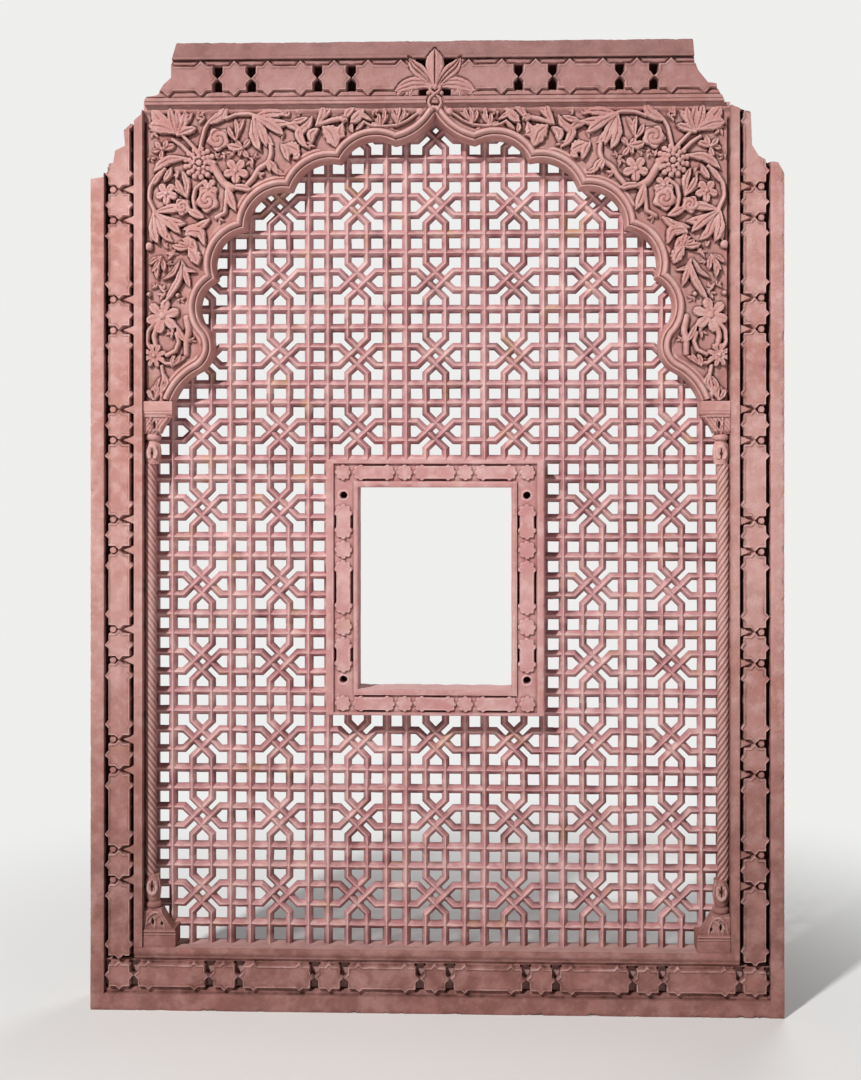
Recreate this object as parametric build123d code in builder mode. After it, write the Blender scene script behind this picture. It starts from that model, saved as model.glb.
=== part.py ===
from build123d import *
import os
from math import sqrt

# A carved sandstone jali screen: a stepped-shouldered border of star and cartouche
# tablets, two slender columns that carry a cusped arch, a pierced lattice of knotted
# bars behind it, and a small look-out window framed in the lattice.
# Millimetres. X runs across the screen, Z up, and the carved face looks along -Y.
# The origin is under the middle of the screen, on the surface that it stands on.

# ---- sizes that can be set -------------------------------------------------

# pierced lattice
columns = 29                 # holes across the field
lower_rows = 25              # rows of holes from the base rail to the window head
cell = 40.0                  # middle to middle of two holes across
lower_row = 39.65            # middle to middle of two rows below the window head
upper_row = 38.4             # the same, above the window head
bar = 18.0                   # width of a straight bar
knot_bar = 14.5              # width of a diagonal bar
knot_reach = 17.6            # middle of a knot to where its diagonals cross
knot_step = 4                # every fourth hole is the middle of a knot
lattice_thickness = 24.0
housing = 12.0               # how far the lattice is let into stiles and base rail
least_piercing = 90.0        # smaller remains of a hole beside the arch stay blind

# window in the lattice, counted in whole cells
window_first_row = 12
window_columns = 11
window_lip = 12.5            # plain margin round the opening
window_band = 35.0           # groove for the small tablets
window_jamb_depth = 65.0     # from the lattice beside the window to its opening
window_sill_depth = 53.7
window_head_depth = 55.75
window_stand = 43.0          # frame face in front of the lattice face
window_band_depth = 7.0
window_tenon = 15.0
pin_hole = 14.0              # holes for the pins of a shutter
pin_inset = 30.0             # pin hole beside the opening
pin_rise = 18.0              # lower pin holes above the sill
pin_drop = 16.0              # upper pin holes under the head

# border
thickness = 110.0
lattice_recess = 58.0        # border face to lattice face
outer_fillet = 27.0
stile_band = 61.0
inner_fillet = 17.0
column_zone = 18.9           # flat jamb behind each column
web_recess = 43.0            # border face to the jamb behind a column
base_moulding = 34.0
base_band = 71.0
base_fillet = 22.0
head_fillet = 13.0
head_band = 77.0
head_moulding = 34.0
band_depth = 30.0
tablet_recess = 4.0          # tablet face behind the border face
tablet_half = 22.0           # half the width of a tablet
tablet_bridge = 2.0          # neighbouring points run into each other
stile_star_reach = 28.0      # middle of a star to the points at its sides
stile_star_run = 31.0        # middle of a star to where the next tablet starts
stile_star_pitch = 222.0
stile_stars = 7
base_star_reach = 30.5
base_star_run = 30.0
base_star_pitch = 212.5
base_star_pairs = 3
head_star_reach = 38.0
head_star_run = 34.0
head_star_pitch = 202.0
head_star_pairs = 2
edge_round = 5.0             # rounding of the screen's outer arrises

# columns
base_height = 142.0
shaft_length = 832.0
capital_height = 127.0
shaft_diameter = 20.0
abacus_width = 59.0
abacus_height = 27.0
abacus_stand = 38.0          # abacus face in front of the jamb
bracket_height = 39.0
shaft_flat = 2.0             # cut off the back of the shaft where it lies on the jamb
ring_height = 13.0
ring_diameter = 33.0
neck_diameter = 31.0
collar = 13.0                # half the width of a neck where it meets the shaft
plinth_width = 66.0
plinth_height = 35.0
bell_height = 39.0

# arch
arch_inset = 37.1            # arch springs this far inside the edge of the field
arch_rise = 578.0
arch_moulding = 19.0         # width of the roll moulding along the arch
arch_stand = 51.0            # moulding face in front of the lattice face
arch_lap = 10.0              # lattice reaches this far behind the moulding
arch_bead = 5.0              # width of the small bead on the arch's inner edge
arch_bead_step = 7.0         # the bead lies behind the face of the moulding
spandrel_tip = 14.0          # spandrels stop this far from the arch point
spandrel_recess = 25.0       # border face to the carved ground of a spandrel

# finial on the arch point
finial_root = 24.0           # head rail's lower edge to the root of the petals
petal_length = 86.0
petal_width = 37.0
petal_angle = 37.0           # the two raised side petals lean this far out
droop_reach = 80.0           # the two drooping petals
droop_rise = 27.0
droop_width = 21.0
finial_neck = 30.0
finial_stand = 29.0          # petals stand out from the ground of the head rail's band
finial_pocket = 3.0          # room cut round the finial in the head rail

# dowels between the stones
dowel_diameter = 12.0
dowel_length = 60.0
dowel_y = 24.0               # middle of a dowel behind the middle plane of the screen
head_dowel_inset = 90.0      # in from the stile
side_dowel_drop = 125.0      # down from the head rail
column_pin_diameter = 8.0
column_pin_length = 36.0
tenon_width = 40.0
tenon_depth = 34.0
tenon_length = 40.0

joint = 0.5                  # mortar joint and clearance between neighbouring stones

# ---- places worked out from them -------------------------------------------

front = -thickness / 2
back = thickness / 2
lattice_front = front + lattice_recess
lattice_back = lattice_front + lattice_thickness
web_front = front + web_recess
band_ground = front + band_depth
tablet_face = front + tablet_recess
spandrel_ground = front + spandrel_recess

field_half = columns * cell / 2 - bar / 2
fillet_in = field_half + column_zone
band_in = fillet_in + inner_fillet
band_out = band_in + stile_band
half_width = band_out + outer_fillet
band_middle = (band_in + band_out) / 2

base_top = base_moulding + base_band + base_fillet
base_band_z = base_moulding + base_band / 2
stile_foot = base_band_z + base_star_reach
lattice_low = base_top - bar / 2 + joint    # the first holes start at the rail's top
window_low = lattice_low + window_first_row * lower_row
window_high = lattice_low + lower_rows * lower_row
window_out = window_columns * cell / 2
window_half_width = window_out - window_jamb_depth
spring = base_top + base_height + shaft_length + capital_height
arch_half = field_half - arch_inset
arch_point = spring + arch_rise
upper_rows = int((arch_point - window_high) / upper_row) + 1
head_bottom = arch_point + arch_moulding + joint
head_dowel_x = fillet_in - head_dowel_inset
side_dowel_z = head_bottom - side_dowel_drop
head_band_z = head_bottom + head_fillet + head_band / 2
head_top = head_bottom + head_fillet + head_band + head_moulding
column_x = fillet_in - joint - ring_diameter / 2
column_y = web_front - neck_diameter / 2 + shaft_flat
column_edge = fillet_in - joint
shaft_x = column_edge - shaft_diameter / 2
shaft_y = web_front - shaft_diameter / 2 + shaft_flat


def facing(depth):
    """The plane across the screen at a depth, looking out of the carved face."""
    return Plane.XZ.offset(-depth)


def row_line(row):
    """Height of the bar that lies under a row of holes."""
    if row <= lower_rows:
        return lattice_low + row * lower_row
    return window_high + (row - lower_rows) * upper_row


# ---- the lattice -----------------------------------------------------------

def piercing(along, up, wide, tall):
    """Outline of one hole, from its place in the knot and the size of a cell."""
    half = bar / 2
    cross = knot_bar / 2 * sqrt(wide ** 2 + tall ** 2) / (wide * tall)
    reach = knot_reach / cell
    inner, outer = reach - cross, reach + cross
    left, right = 0.5 - half / wide, 0.5 + half / wide
    low, high = 0.5 - half / tall, 0.5 + half / tall
    if abs(along) > 1 or abs(up) > 1:
        points = [(-left, -low), (left, -low), (left, low), (-left, low)]
        return [(x * wide, z * tall) for x, z in points]
    if along == 0 and up == 0:
        points = [(inner, 0), (0, inner), (-inner, 0), (0, -inner)]
    elif along == 0:
        eave = outer + left
        points = [(left, 1 + low), (-left, 1 + low), (-left, eave), (0, outer), (left, eave)]
        points = [(x, z * up) for x, z in points]
    elif up == 0:
        eave = outer + low
        points = [(1 + left, low), (1 + left, -low), (eave, -low), (outer, 0), (eave, low)]
        points = [(x * along, z) for x, z in points]
    else:
        tip, heel = (outer + inner) / 2, (outer - inner) / 2
        points = [(right, 1 + low), (1 + left, 1 + low), (1 + left, high),
                  (inner + high, high), (tip, heel), (heel, tip), (right, inner + right)]
        points = [(x * along, z * up) for x, z in points]
    return [((x - along) * wide, (z - up) * tall) for x, z in points]


def piercings(first_column, last_column, first_row, last_row):
    """Outlines of the holes of a block of cells, as closed wires."""
    place_in_knot = {2: 0, 3: 1, 0: 2, 1: -1}
    outlines = []
    for row in range(first_row, last_row):
        tall = row_line(row + 1) - row_line(row)
        z = (row_line(row) + row_line(row + 1)) / 2
        for column in range(first_column, last_column):
            x = (column - (columns - 1) / 2) * cell
            along, up = place_in_knot[column % knot_step], place_in_knot[row % knot_step]
            corners = piercing(along, up, cell, tall)
            outlines.append(Wire.make_polygon([(x + dx, z + dz) for dx, dz in corners]))
    return outlines


# The cusped arch, set out for the right half as shares of the half span and of the
# rise: where each arc passes and where it ends, from the springing to the point.
arch_arcs = (
    ((0.961, 0.062), (0.895, 0.109)),     # foot
    ((0.848, 0.176), (0.867, 0.249)),     # knuckle
    ((0.901, 0.341), (0.833, 0.429)),     # lowest foil
    ((0.830, 0.531), (0.721, 0.604)),
    ((0.676, 0.706), (0.547, 0.741)),
    ((0.478, 0.822), (0.359, 0.839)),
    ((0.258, 0.917), (0.152, 0.903)),
    ((0.069, 0.934), (0.000, 1.000)),     # rises to the point
)


def arch_edge(side):
    """Draws one side of the arch in the line that is open, from springing to point."""
    start = (side * arch_half, spring)
    for through, end in arch_arcs:
        via = (side * through[0] * arch_half, spring + through[1] * arch_rise)
        stop = (side * end[0] * arch_half, spring + end[1] * arch_rise)
        ThreePointArc(start, via, stop)
        start = stop


with BuildSketch() as arch_opening:
    with BuildLine():
        arch_edge(1)
        arch_edge(-1)
        Line((-arch_half, spring), (arch_half, spring))
    make_face()

with BuildSketch() as arch_behind:      # reach of the lattice behind the moulding
    add(arch_opening.sketch)
    offset(amount=arch_lap)

with BuildSketch() as arch_outline:     # outer edge of the moulding
    add(arch_opening.sketch)
    offset(amount=arch_moulding)

edge_x = field_half + housing


def lattice_panel(name, outline, holes):
    """One pierced stone, from its outline and the wires of its holes."""
    pierced = outline.sketch.face().make_holes(holes)
    with BuildPart() as panel:
        with BuildSketch(facing(lattice_back)):
            add(pierced)
        extrude(amount=lattice_thickness, clean=False)
    panel.part.label = name
    return panel.part


with BuildSketch() as bottom_outline:
    with Locations((0, (base_top - housing + window_low) / 2)):
        Rectangle(2 * edge_x, window_low - base_top + housing)
lattice_bottom = lattice_panel("lattice_bottom", bottom_outline,
                               piercings(0, columns, 0, window_first_row))

window_first_column = (columns - window_columns) // 2
window_last_column = window_first_column + window_columns
lattice_sides = []
for name, side, first, last in (("lattice_left", -1, 0, window_first_column),
                                ("lattice_right", 1, window_last_column, columns)):
    with BuildSketch() as side_outline:
        with Locations((side * (edge_x + window_out) / 2, (window_low + window_high) / 2)):
            Rectangle(edge_x - window_out, window_high - window_low)
    holes = piercings(first, last, window_first_row, lower_rows)
    lattice_sides.append(lattice_panel(name, side_outline, holes))

with BuildSketch() as top_outline:
    add(arch_behind.sketch)
    with Locations((0, (window_high + spring - joint) / 2)):
        Rectangle(2 * edge_x, spring - joint - window_high)
    with BuildSketch(mode=Mode.SUBTRACT):
        for side in (-1, 1):
            with Locations((side * edge_x, spring - joint)):
                Rectangle(2 * (edge_x - arch_half - arch_lap), 4 * arch_lap,
                          align=(Align.CENTER, Align.MIN))
with BuildSketch() as top_field:        # what shows under the arch and between the columns
    add(arch_opening.sketch)
    with Locations((0, (window_high + spring + joint) / 2)):
        Rectangle(2 * edge_x, spring + joint - window_high)
field_face = top_field.sketch.face()
top_holes = []
for hole in piercings(0, columns, lower_rows, lower_rows + upper_rows):
    corners = [field_face.is_inside(tuple(vertex)) for vertex in hole.vertices()]
    if all(corners):
        top_holes.append(hole)
    elif any(corners):
        rest = (Face(hole) & field_face).faces().sort_by(SortBy.AREA)[-1]
        if rest.area > least_piercing:
            top_holes.append(rest.outer_wire())
lattice_top = lattice_panel("lattice_top", top_outline, top_holes)

# ---- star and cartouche tablets --------------------------------------------

# Steps of the two broken shoulders: in from the side and down from the top.
left_steps = ((0, 273), (26, 270), (28, 244), (45, 241), (49, 216), (69, 206), (67, 175),
              (102, 144), (112, 107), (134, 105), (148, 83), (163, 70), (163, 40), (175, 0))
right_steps = ((0, 270), (12, 248), (33, 244), (50, 234), (63, 213), (66, 147), (97, 136),
               (116, 127), (129, 103), (131, 89), (150, 88), (170, 63), (177, 45), (181, 0))
overcut = 20.0


def shoulder(side, steps):
    """Draws what the shoulder leaves out of the corner, in the sketch that is open."""
    corner = [(side * (half_width + overcut), head_top - steps[0][1])]
    corner += [(side * (half_width - inward), head_top - down) for inward, down in steps]
    corner += [(side * (half_width - steps[-1][0]), head_top + overcut),
               (side * (half_width + overcut), head_top + overcut)]
    Polygon(*corner, align=None)


def star(upright, reach, run):
    """One eight-pointed star, its points along the run joined to the next tablet."""
    along = run + tablet_bridge / 2
    wide, tall = (reach, along) if upright else (along, reach)
    Rectangle(2 * tablet_half, 2 * tablet_half)
    Polygon((wide, 0), (0, tall), (-wide, 0), (0, -tall), align=None)


def cartouche(start, end, across, upright, reach, run):
    """A long tablet with half a star at each end; start and end are its tips."""
    first, last = start + run, end - run
    places = [(across, first), (across, last)] if upright else [(first, across), (last, across)]
    with Locations(*places):
        star(upright, reach, run)
    middle = (across, (first + last) / 2) if upright else ((first + last) / 2, across)
    size = (2 * tablet_half, last - first) if upright else (last - first, 2 * tablet_half)
    with Locations(middle):
        Rectangle(*size)


# ---- border ----------------------------------------------------------------

groove_front = lattice_front - joint
groove_width = lattice_thickness + 2 * joint

with BuildPart() as base_rail:
    with BuildSketch(facing(back)):
        with Locations((0, stile_foot / 2)):
            Rectangle(2 * half_width, stile_foot)
        with Locations((0, base_top / 2)):
            Rectangle(2 * band_in, base_top)
    extrude(amount=thickness)
    lower_arris = base_rail.edges().filter_by(Axis.X).group_by(Axis.Z)[0].sort_by(Axis.Y)[0]
    fillet(lower_arris, edge_round)
    with BuildSketch(facing(band_ground)):
        with Locations((0, base_band_z)):
            Rectangle(2 * band_out, base_band)
    extrude(amount=band_depth, mode=Mode.SUBTRACT)
    with BuildSketch(facing(band_ground)):
        for number in range(-base_star_pairs, base_star_pairs + 1):
            with Locations((number * base_star_pitch, base_band_z)):
                star(False, base_star_reach, base_star_run)
        for number in range(-base_star_pairs, base_star_pairs):
            cartouche(number * base_star_pitch + base_star_run,
                      (number + 1) * base_star_pitch - base_star_run,
                      base_band_z, False, base_star_reach, base_star_run)
    extrude(amount=band_depth - tablet_recess)
    with Locations((0, groove_front + groove_width / 2, base_top)):     # seat of the lattice
        Box(2 * (edge_x + joint), groove_width, 2 * housing, mode=Mode.SUBTRACT)
    with Locations((band_middle, dowel_y, stile_foot), (-band_middle, dowel_y, stile_foot)):
        Box(tenon_width + 2 * joint, tenon_depth + 2 * joint, 2 * tenon_length + 2 * joint,
            mode=Mode.SUBTRACT)
base_rail.part.label = "base_rail"


def build_stile(name, side, steps):
    """An upright of the border, with the flat jamb that carries a column."""
    first_tip = stile_foot + tablet_bridge / 2
    gap = stile_star_pitch - 2 * stile_star_run
    stile_middle = side * band_middle
    with BuildPart() as stile:
        with BuildSketch(facing(back)):
            with Locations((side * (band_in + half_width) / 2, (stile_foot + head_bottom) / 2)):
                Rectangle(half_width - band_in, head_bottom - stile_foot)
            with Locations((side * (fillet_in + band_in) / 2, (base_top + head_bottom) / 2)):
                Rectangle(inner_fillet, head_bottom - base_top)
        extrude(amount=thickness)
        outer_arris = stile.edges().filter_by(Axis.Z).sort_by(lambda edge: side * edge.center().X)
        fillet(outer_arris.group_by(lambda edge: side * round(edge.center().X))[-1]
               .sort_by(Axis.Y)[0], edge_round)
        with BuildSketch(facing(back)):
            with Locations((side * (field_half + fillet_in) / 2, (base_top + head_bottom) / 2)):
                Rectangle(column_zone, head_bottom - base_top)
        extrude(amount=back - web_front)
        with BuildSketch(facing(band_ground)):
            with Locations((stile_middle, (stile_foot + head_bottom) / 2)):
                Rectangle(stile_band, head_bottom - stile_foot)
        extrude(amount=band_depth, mode=Mode.SUBTRACT)
        with BuildSketch(facing(band_ground)):
            for number in range(stile_stars + 1):
                tip = first_tip + number * stile_star_pitch
                cartouche(tip, tip + gap, stile_middle, True, stile_star_reach, stile_star_run)
            for number in range(stile_stars):
                z = first_tip + gap + stile_star_run + number * stile_star_pitch
                with Locations((stile_middle, z)):
                    star(True, stile_star_reach, stile_star_run)
        extrude(amount=band_depth - tablet_recess)
        with Locations((side * field_half, groove_front + groove_width / 2,
                        (base_top + spring) / 2)):                      # seat of the lattice
            Box(2 * (housing + joint), groove_width, spring - base_top, mode=Mode.SUBTRACT)
        with Locations((stile_middle, dowel_y, stile_foot - tenon_length / 2)):
            Box(tenon_width, tenon_depth, tenon_length)
        with Locations(Location((side * field_half, dowel_y, side_dowel_z), (0, 90, 0))):
            Cylinder(dowel_diameter / 2 + joint / 2, dowel_length + joint, mode=Mode.SUBTRACT)
        with BuildSketch(facing(back)):
            shoulder(side, steps)
        extrude(amount=thickness, mode=Mode.SUBTRACT)
    stile.part.label = name
    return stile.part


left_stile = build_stile("left_stile", -1, left_steps)
right_stile = build_stile("right_stile", 1, right_steps)

with BuildSketch() as petal:
    with BuildLine():
        ThreePointArc((0, 0), (petal_width / 2, petal_length * 0.55), (0, petal_length))
        ThreePointArc((0, petal_length), (-petal_width / 2, petal_length * 0.55), (0, 0))
    make_face()

root_z = head_bottom + finial_root
with BuildSketch() as drooping_petals:
    with BuildLine():
        ThreePointArc((0, 0), (droop_reach * 0.55, droop_rise), (droop_reach, 0))
        ThreePointArc((droop_reach, 0), (droop_reach * 0.55, droop_rise - droop_width), (0, 0))
    make_face()
    mirror(about=Plane.YZ)

with BuildSketch() as palmette:
    with Locations((0, root_z)):
        for angle in (-petal_angle, 0, petal_angle):
            add(petal.sketch, rotation=angle)
        add(drooping_petals.sketch)
        Circle(finial_neck / 2)
    with Locations((0, (arch_point + root_z) / 2)):
        Rectangle(finial_neck, root_z - arch_point)

with BuildPart() as head_rail:
    with BuildSketch(facing(back)):
        with Locations((0, (head_bottom + head_top) / 2)):
            Rectangle(2 * half_width, head_top - head_bottom)
    extrude(amount=thickness)
    upper_arris = head_rail.edges().filter_by(Axis.X).group_by(Axis.Z)[-1].sort_by(Axis.Y)[0]
    fillet(upper_arris, edge_round)
    with BuildSketch(facing(band_ground)):
        with Locations((0, head_band_z)):
            Rectangle(2 * half_width, head_band)
    extrude(amount=band_depth, mode=Mode.SUBTRACT)
    with BuildSketch(facing(band_ground)):
        for side in (-1, 1):
            for number in range(1, head_star_pairs + 1):
                with Locations((side * number * head_star_pitch, head_band_z)):
                    star(False, head_star_reach, head_star_run)
        for number in range(-head_star_pairs - 1, head_star_pairs + 1):
            cartouche(number * head_star_pitch + head_star_run,
                      (number + 1) * head_star_pitch - head_star_run,
                      head_band_z, False, head_star_reach, head_star_run)
    extrude(amount=band_depth - tablet_recess)
    with BuildSketch(facing(band_ground)):
        add(palmette.sketch)
        offset(amount=finial_pocket, kind=Kind.INTERSECTION)
    extrude(amount=band_depth, mode=Mode.SUBTRACT)
    with Locations((head_dowel_x, dowel_y, head_bottom), (-head_dowel_x, dowel_y, head_bottom)):
        Cylinder(dowel_diameter / 2 + joint / 2, dowel_length + joint, mode=Mode.SUBTRACT)
    with BuildSketch(facing(back)):
        shoulder(-1, left_steps)
        shoulder(1, right_steps)
    extrude(amount=thickness, mode=Mode.SUBTRACT)
head_rail.part.label = "head_rail"

# ---- columns ---------------------------------------------------------------

shaft_low = base_top + base_height
shaft_high = shaft_low + shaft_length
axis_at = Plane.XZ.offset(-column_y)


def keep_before_jamb(x_middle):
    """Cuts a turned stone flat where it lies against the jamb."""
    deep = 2 * ring_diameter
    with Locations((x_middle, web_front + deep / 2, (shaft_low + shaft_high) / 2)):
        Box(4 * ring_diameter, deep, 3 * shaft_length, mode=Mode.SUBTRACT)


def build_shaft(name, side):
    """A plain round shaft with a flat back."""
    with BuildPart() as shaft:
        with BuildSketch(Plane.XY.offset(shaft_low)):
            with Locations((side * shaft_x, shaft_y)):
                Circle(shaft_diameter / 2)
            with Locations((side * shaft_x, web_front)):
                Rectangle(shaft_diameter, shaft_diameter, align=(Align.CENTER, Align.MIN),
                          mode=Mode.SUBTRACT)
        extrude(amount=shaft_length)
        with Locations((side * shaft_x, shaft_y, shaft_low), (side * shaft_x, shaft_y, shaft_high)):
            Cylinder((column_pin_diameter + joint) / 2, column_pin_length + joint,
                     mode=Mode.SUBTRACT)
    shaft.part.label = name
    return shaft.part


def build_capital(name, side):
    """Necking, ring, carved bracket and abacus, worked from one stone."""
    ring_low = shaft_high + capital_height - abacus_height - bracket_height - ring_height
    bracket_low = ring_low + ring_height
    abacus_low = spring - abacus_height
    inner = column_edge - abacus_width
    with BuildPart() as capital:
        with BuildSketch(axis_at):
            with BuildLine():
                Line((side * column_x, shaft_high), (side * (column_x + collar), shaft_high))
                ThreePointArc((side * (column_x + collar), shaft_high),
                              (side * (column_x + neck_diameter / 2), (shaft_high * 2 + ring_low) / 3),
                              (side * (column_x + collar * 0.9), ring_low))
                Line((side * (column_x + collar * 0.9), ring_low), (side * column_x, ring_low))
                Line((side * column_x, ring_low), (side * column_x, shaft_high))
            make_face()
        revolve(axis=Axis((side * column_x, column_y, 0), (0, 0, 1)))
        with Locations((side * column_x, column_y, ring_low + ring_height / 2)):
            Cylinder(ring_diameter / 2, ring_height)
        keep_before_jamb(side * column_x)
        with BuildSketch(facing(web_front)):
            with BuildLine():
                Line((side * column_edge, bracket_low), (side * (column_x - neck_diameter / 2), bracket_low))
                ThreePointArc((side * (column_x - neck_diameter / 2), bracket_low),
                              (side * (inner + abacus_width * 0.2), bracket_low + bracket_height * 0.4),
                              (side * (inner + 2.0), abacus_low))
                Line((side * (inner + 2.0), abacus_low), (side * column_edge, abacus_low))
                Line((side * column_edge, abacus_low), (side * column_edge, bracket_low))
            make_face()
        extrude(amount=abacus_stand - 3.0)
        with BuildSketch(facing(web_front)):
            with Locations((side * (inner + column_edge) / 2, (abacus_low + spring) / 2)):
                Rectangle(abacus_width, abacus_height)
        extrude(amount=abacus_stand)
        with BuildSketch(facing(lattice_front)):
            with Locations((side * (inner + field_half - joint) / 2, (abacus_low + spring) / 2)):
                Rectangle(field_half - joint - inner, abacus_height)
        extrude(amount=lattice_front - web_front)
        with Locations((side * shaft_x, shaft_y, shaft_high)):
            Cylinder((column_pin_diameter + joint) / 2, column_pin_length + joint,
                     mode=Mode.SUBTRACT)
    capital.part.label = name
    return capital.part


def build_base(name, side):
    """Plinth, bell, ring and inverted necking, worked from one stone."""
    bell_low = base_top + plinth_height
    ring_low = bell_low + bell_height
    neck_low = ring_low + ring_height
    inner = column_edge - plinth_width
    with BuildPart() as base:
        with BuildSketch(axis_at):
            with BuildLine():
                Line((side * column_x, neck_low), (side * (column_x + collar * 0.9), neck_low))
                ThreePointArc((side * (column_x + collar * 0.9), neck_low),
                              (side * (column_x + neck_diameter / 2), (neck_low + 2 * shaft_low) / 3),
                              (side * (column_x + collar), shaft_low))
                Line((side * (column_x + collar), shaft_low), (side * column_x, shaft_low))
                Line((side * column_x, shaft_low), (side * column_x, neck_low))
            make_face()
        revolve(axis=Axis((side * column_x, column_y, 0), (0, 0, 1)))
        with Locations((side * column_x, column_y, ring_low + ring_height / 2)):
            Cylinder(ring_diameter / 2, ring_height)
        keep_before_jamb(side * column_x)
        with BuildSketch(facing(web_front)):
            with BuildLine():
                Line((side * column_edge, ring_low), (side * (column_x - neck_diameter / 2), ring_low))
                ThreePointArc((side * (column_x - neck_diameter / 2), ring_low),
                              (side * (inner + plinth_width * 0.22), bell_low + bell_height * 0.65),
                              (side * (inner + plinth_width * 0.1), bell_low))
                Line((side * (inner + plinth_width * 0.1), bell_low), (side * column_edge, bell_low))
                Line((side * column_edge, bell_low), (side * column_edge, ring_low))
            make_face()
        extrude(amount=abacus_stand - 3.0)
        with BuildSketch(facing(web_front)):
            with Locations((side * (inner + column_edge) / 2, (base_top + bell_low) / 2)):
                Rectangle(plinth_width, plinth_height)
        extrude(amount=abacus_stand)
        with BuildSketch(facing(lattice_front)):
            with Locations((side * (inner + field_half - joint) / 2, (base_top + bell_low) / 2)):
                Rectangle(field_half - joint - inner, plinth_height)
        extrude(amount=lattice_front - web_front)
        with Locations((side * shaft_x, shaft_y, shaft_low)):
            Cylinder((column_pin_diameter + joint) / 2, column_pin_length + joint,
                     mode=Mode.SUBTRACT)
    base.part.label = name
    return base.part


column_parts = []
for name, side in (("left", -1), ("right", 1)):
    column_parts.append(build_base(f"{name}_column_base", side))
    column_parts.append(build_shaft(f"{name}_column_shaft", side))
    column_parts.append(build_capital(f"{name}_capital", side))

# ---- arch ------------------------------------------------------------------

with BuildSketch() as bead_outline:
    add(arch_opening.sketch)
    offset(amount=arch_bead)

with BuildSketch() as face_clear:       # spandrels fit round the moulding
    add(arch_opening.sketch)
    offset(amount=arch_moulding + joint)

with BuildSketch() as rear_clear:       # and behind it round the lattice
    add(arch_opening.sketch)
    offset(amount=arch_lap + joint)


def half_above_spring(side, start, reach):
    """Keeps one half of a sketch, above the springing."""
    with Locations((side * (start + reach) / 2, (spring + head_bottom) / 2)):
        Rectangle(reach - start, head_bottom - spring, mode=Mode.INTERSECT)


def build_moulding(name, side):
    """Half of the roll moulding that follows the cusped arch, with its inner bead."""
    with BuildPart() as moulding:
        with BuildSketch(facing(lattice_front)):
            add(arch_outline.sketch)
            add(arch_opening.sketch, mode=Mode.SUBTRACT)
            half_above_spring(side, joint / 2, field_half)
        extrude(amount=arch_stand - arch_bead_step)
        with BuildSketch(facing(lattice_front)):
            add(arch_outline.sketch)
            add(bead_outline.sketch, mode=Mode.SUBTRACT)
            half_above_spring(side, joint / 2, field_half)
        extrude(amount=arch_stand)
    moulding.part.label = name
    return moulding.part


def build_spandrel(name, side):
    """The carved corner over the arch, rebated over the jamb and behind the arch."""
    with BuildPart() as spandrel:
        with BuildSketch(facing(web_front)):
            with Locations((0, (spring + head_bottom) / 2)):
                Rectangle(2 * column_edge, head_bottom - spring)
            add(face_clear.sketch, mode=Mode.SUBTRACT)
            half_above_spring(side, spandrel_tip, column_edge)
        extrude(amount=web_front - spandrel_ground)
        with BuildSketch(facing(lattice_front)):
            with Locations((0, (spring + head_bottom) / 2)):
                Rectangle(2 * column_edge, head_bottom - spring)
            add(face_clear.sketch, mode=Mode.SUBTRACT)
            half_above_spring(side, spandrel_tip, field_half - joint)
        extrude(amount=lattice_front - web_front)
        with BuildSketch(facing(back)):
            with Locations((0, (spring + head_bottom) / 2)):
                Rectangle(2 * column_edge, head_bottom - spring)
            add(rear_clear.sketch, mode=Mode.SUBTRACT)
            half_above_spring(side, joint / 2, field_half - joint)
        extrude(amount=back - lattice_front)
        with Locations((side * head_dowel_x, dowel_y, head_bottom)):
            Cylinder(dowel_diameter / 2 + joint / 2, dowel_length + joint, mode=Mode.SUBTRACT)
        with Locations(Location((side * field_half, dowel_y, side_dowel_z), (0, 90, 0))):
            Cylinder(dowel_diameter / 2 + joint / 2, dowel_length + joint, mode=Mode.SUBTRACT)
    spandrel.part.label = name
    return spandrel.part


arch_parts = []
for name, side in (("left", -1), ("right", 1)):
    arch_parts.append(build_moulding(f"{name}_arch_moulding", side))
    arch_parts.append(build_spandrel(f"{name}_spandrel", side))

with BuildPart() as finial:
    with BuildSketch(facing(band_ground)):
        add(palmette.sketch)
        with Locations((0, head_bottom - arch_moulding)):
            Rectangle(4 * petal_length, 2 * arch_moulding, align=(Align.CENTER, Align.CENTER),
                      mode=Mode.SUBTRACT)
    extrude(amount=finial_stand)
finial.part.label = "finial"

# ---- window frame ----------------------------------------------------------

frame_face = lattice_front - window_stand
frame_back = lattice_back + 3.0
opening_low = window_low + window_sill_depth
opening_high = window_high - window_head_depth
frame_low = window_low + joint
frame_high = window_high - joint
frame_out = window_out - joint
band_edge = window_half_width + window_lip
sill_band_z = opening_low - window_lip - window_band / 2
head_band_line = opening_high + window_lip + window_band / 2
tenon_section = (20.0, 24.0)
window_tenon_y = 4.0


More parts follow.
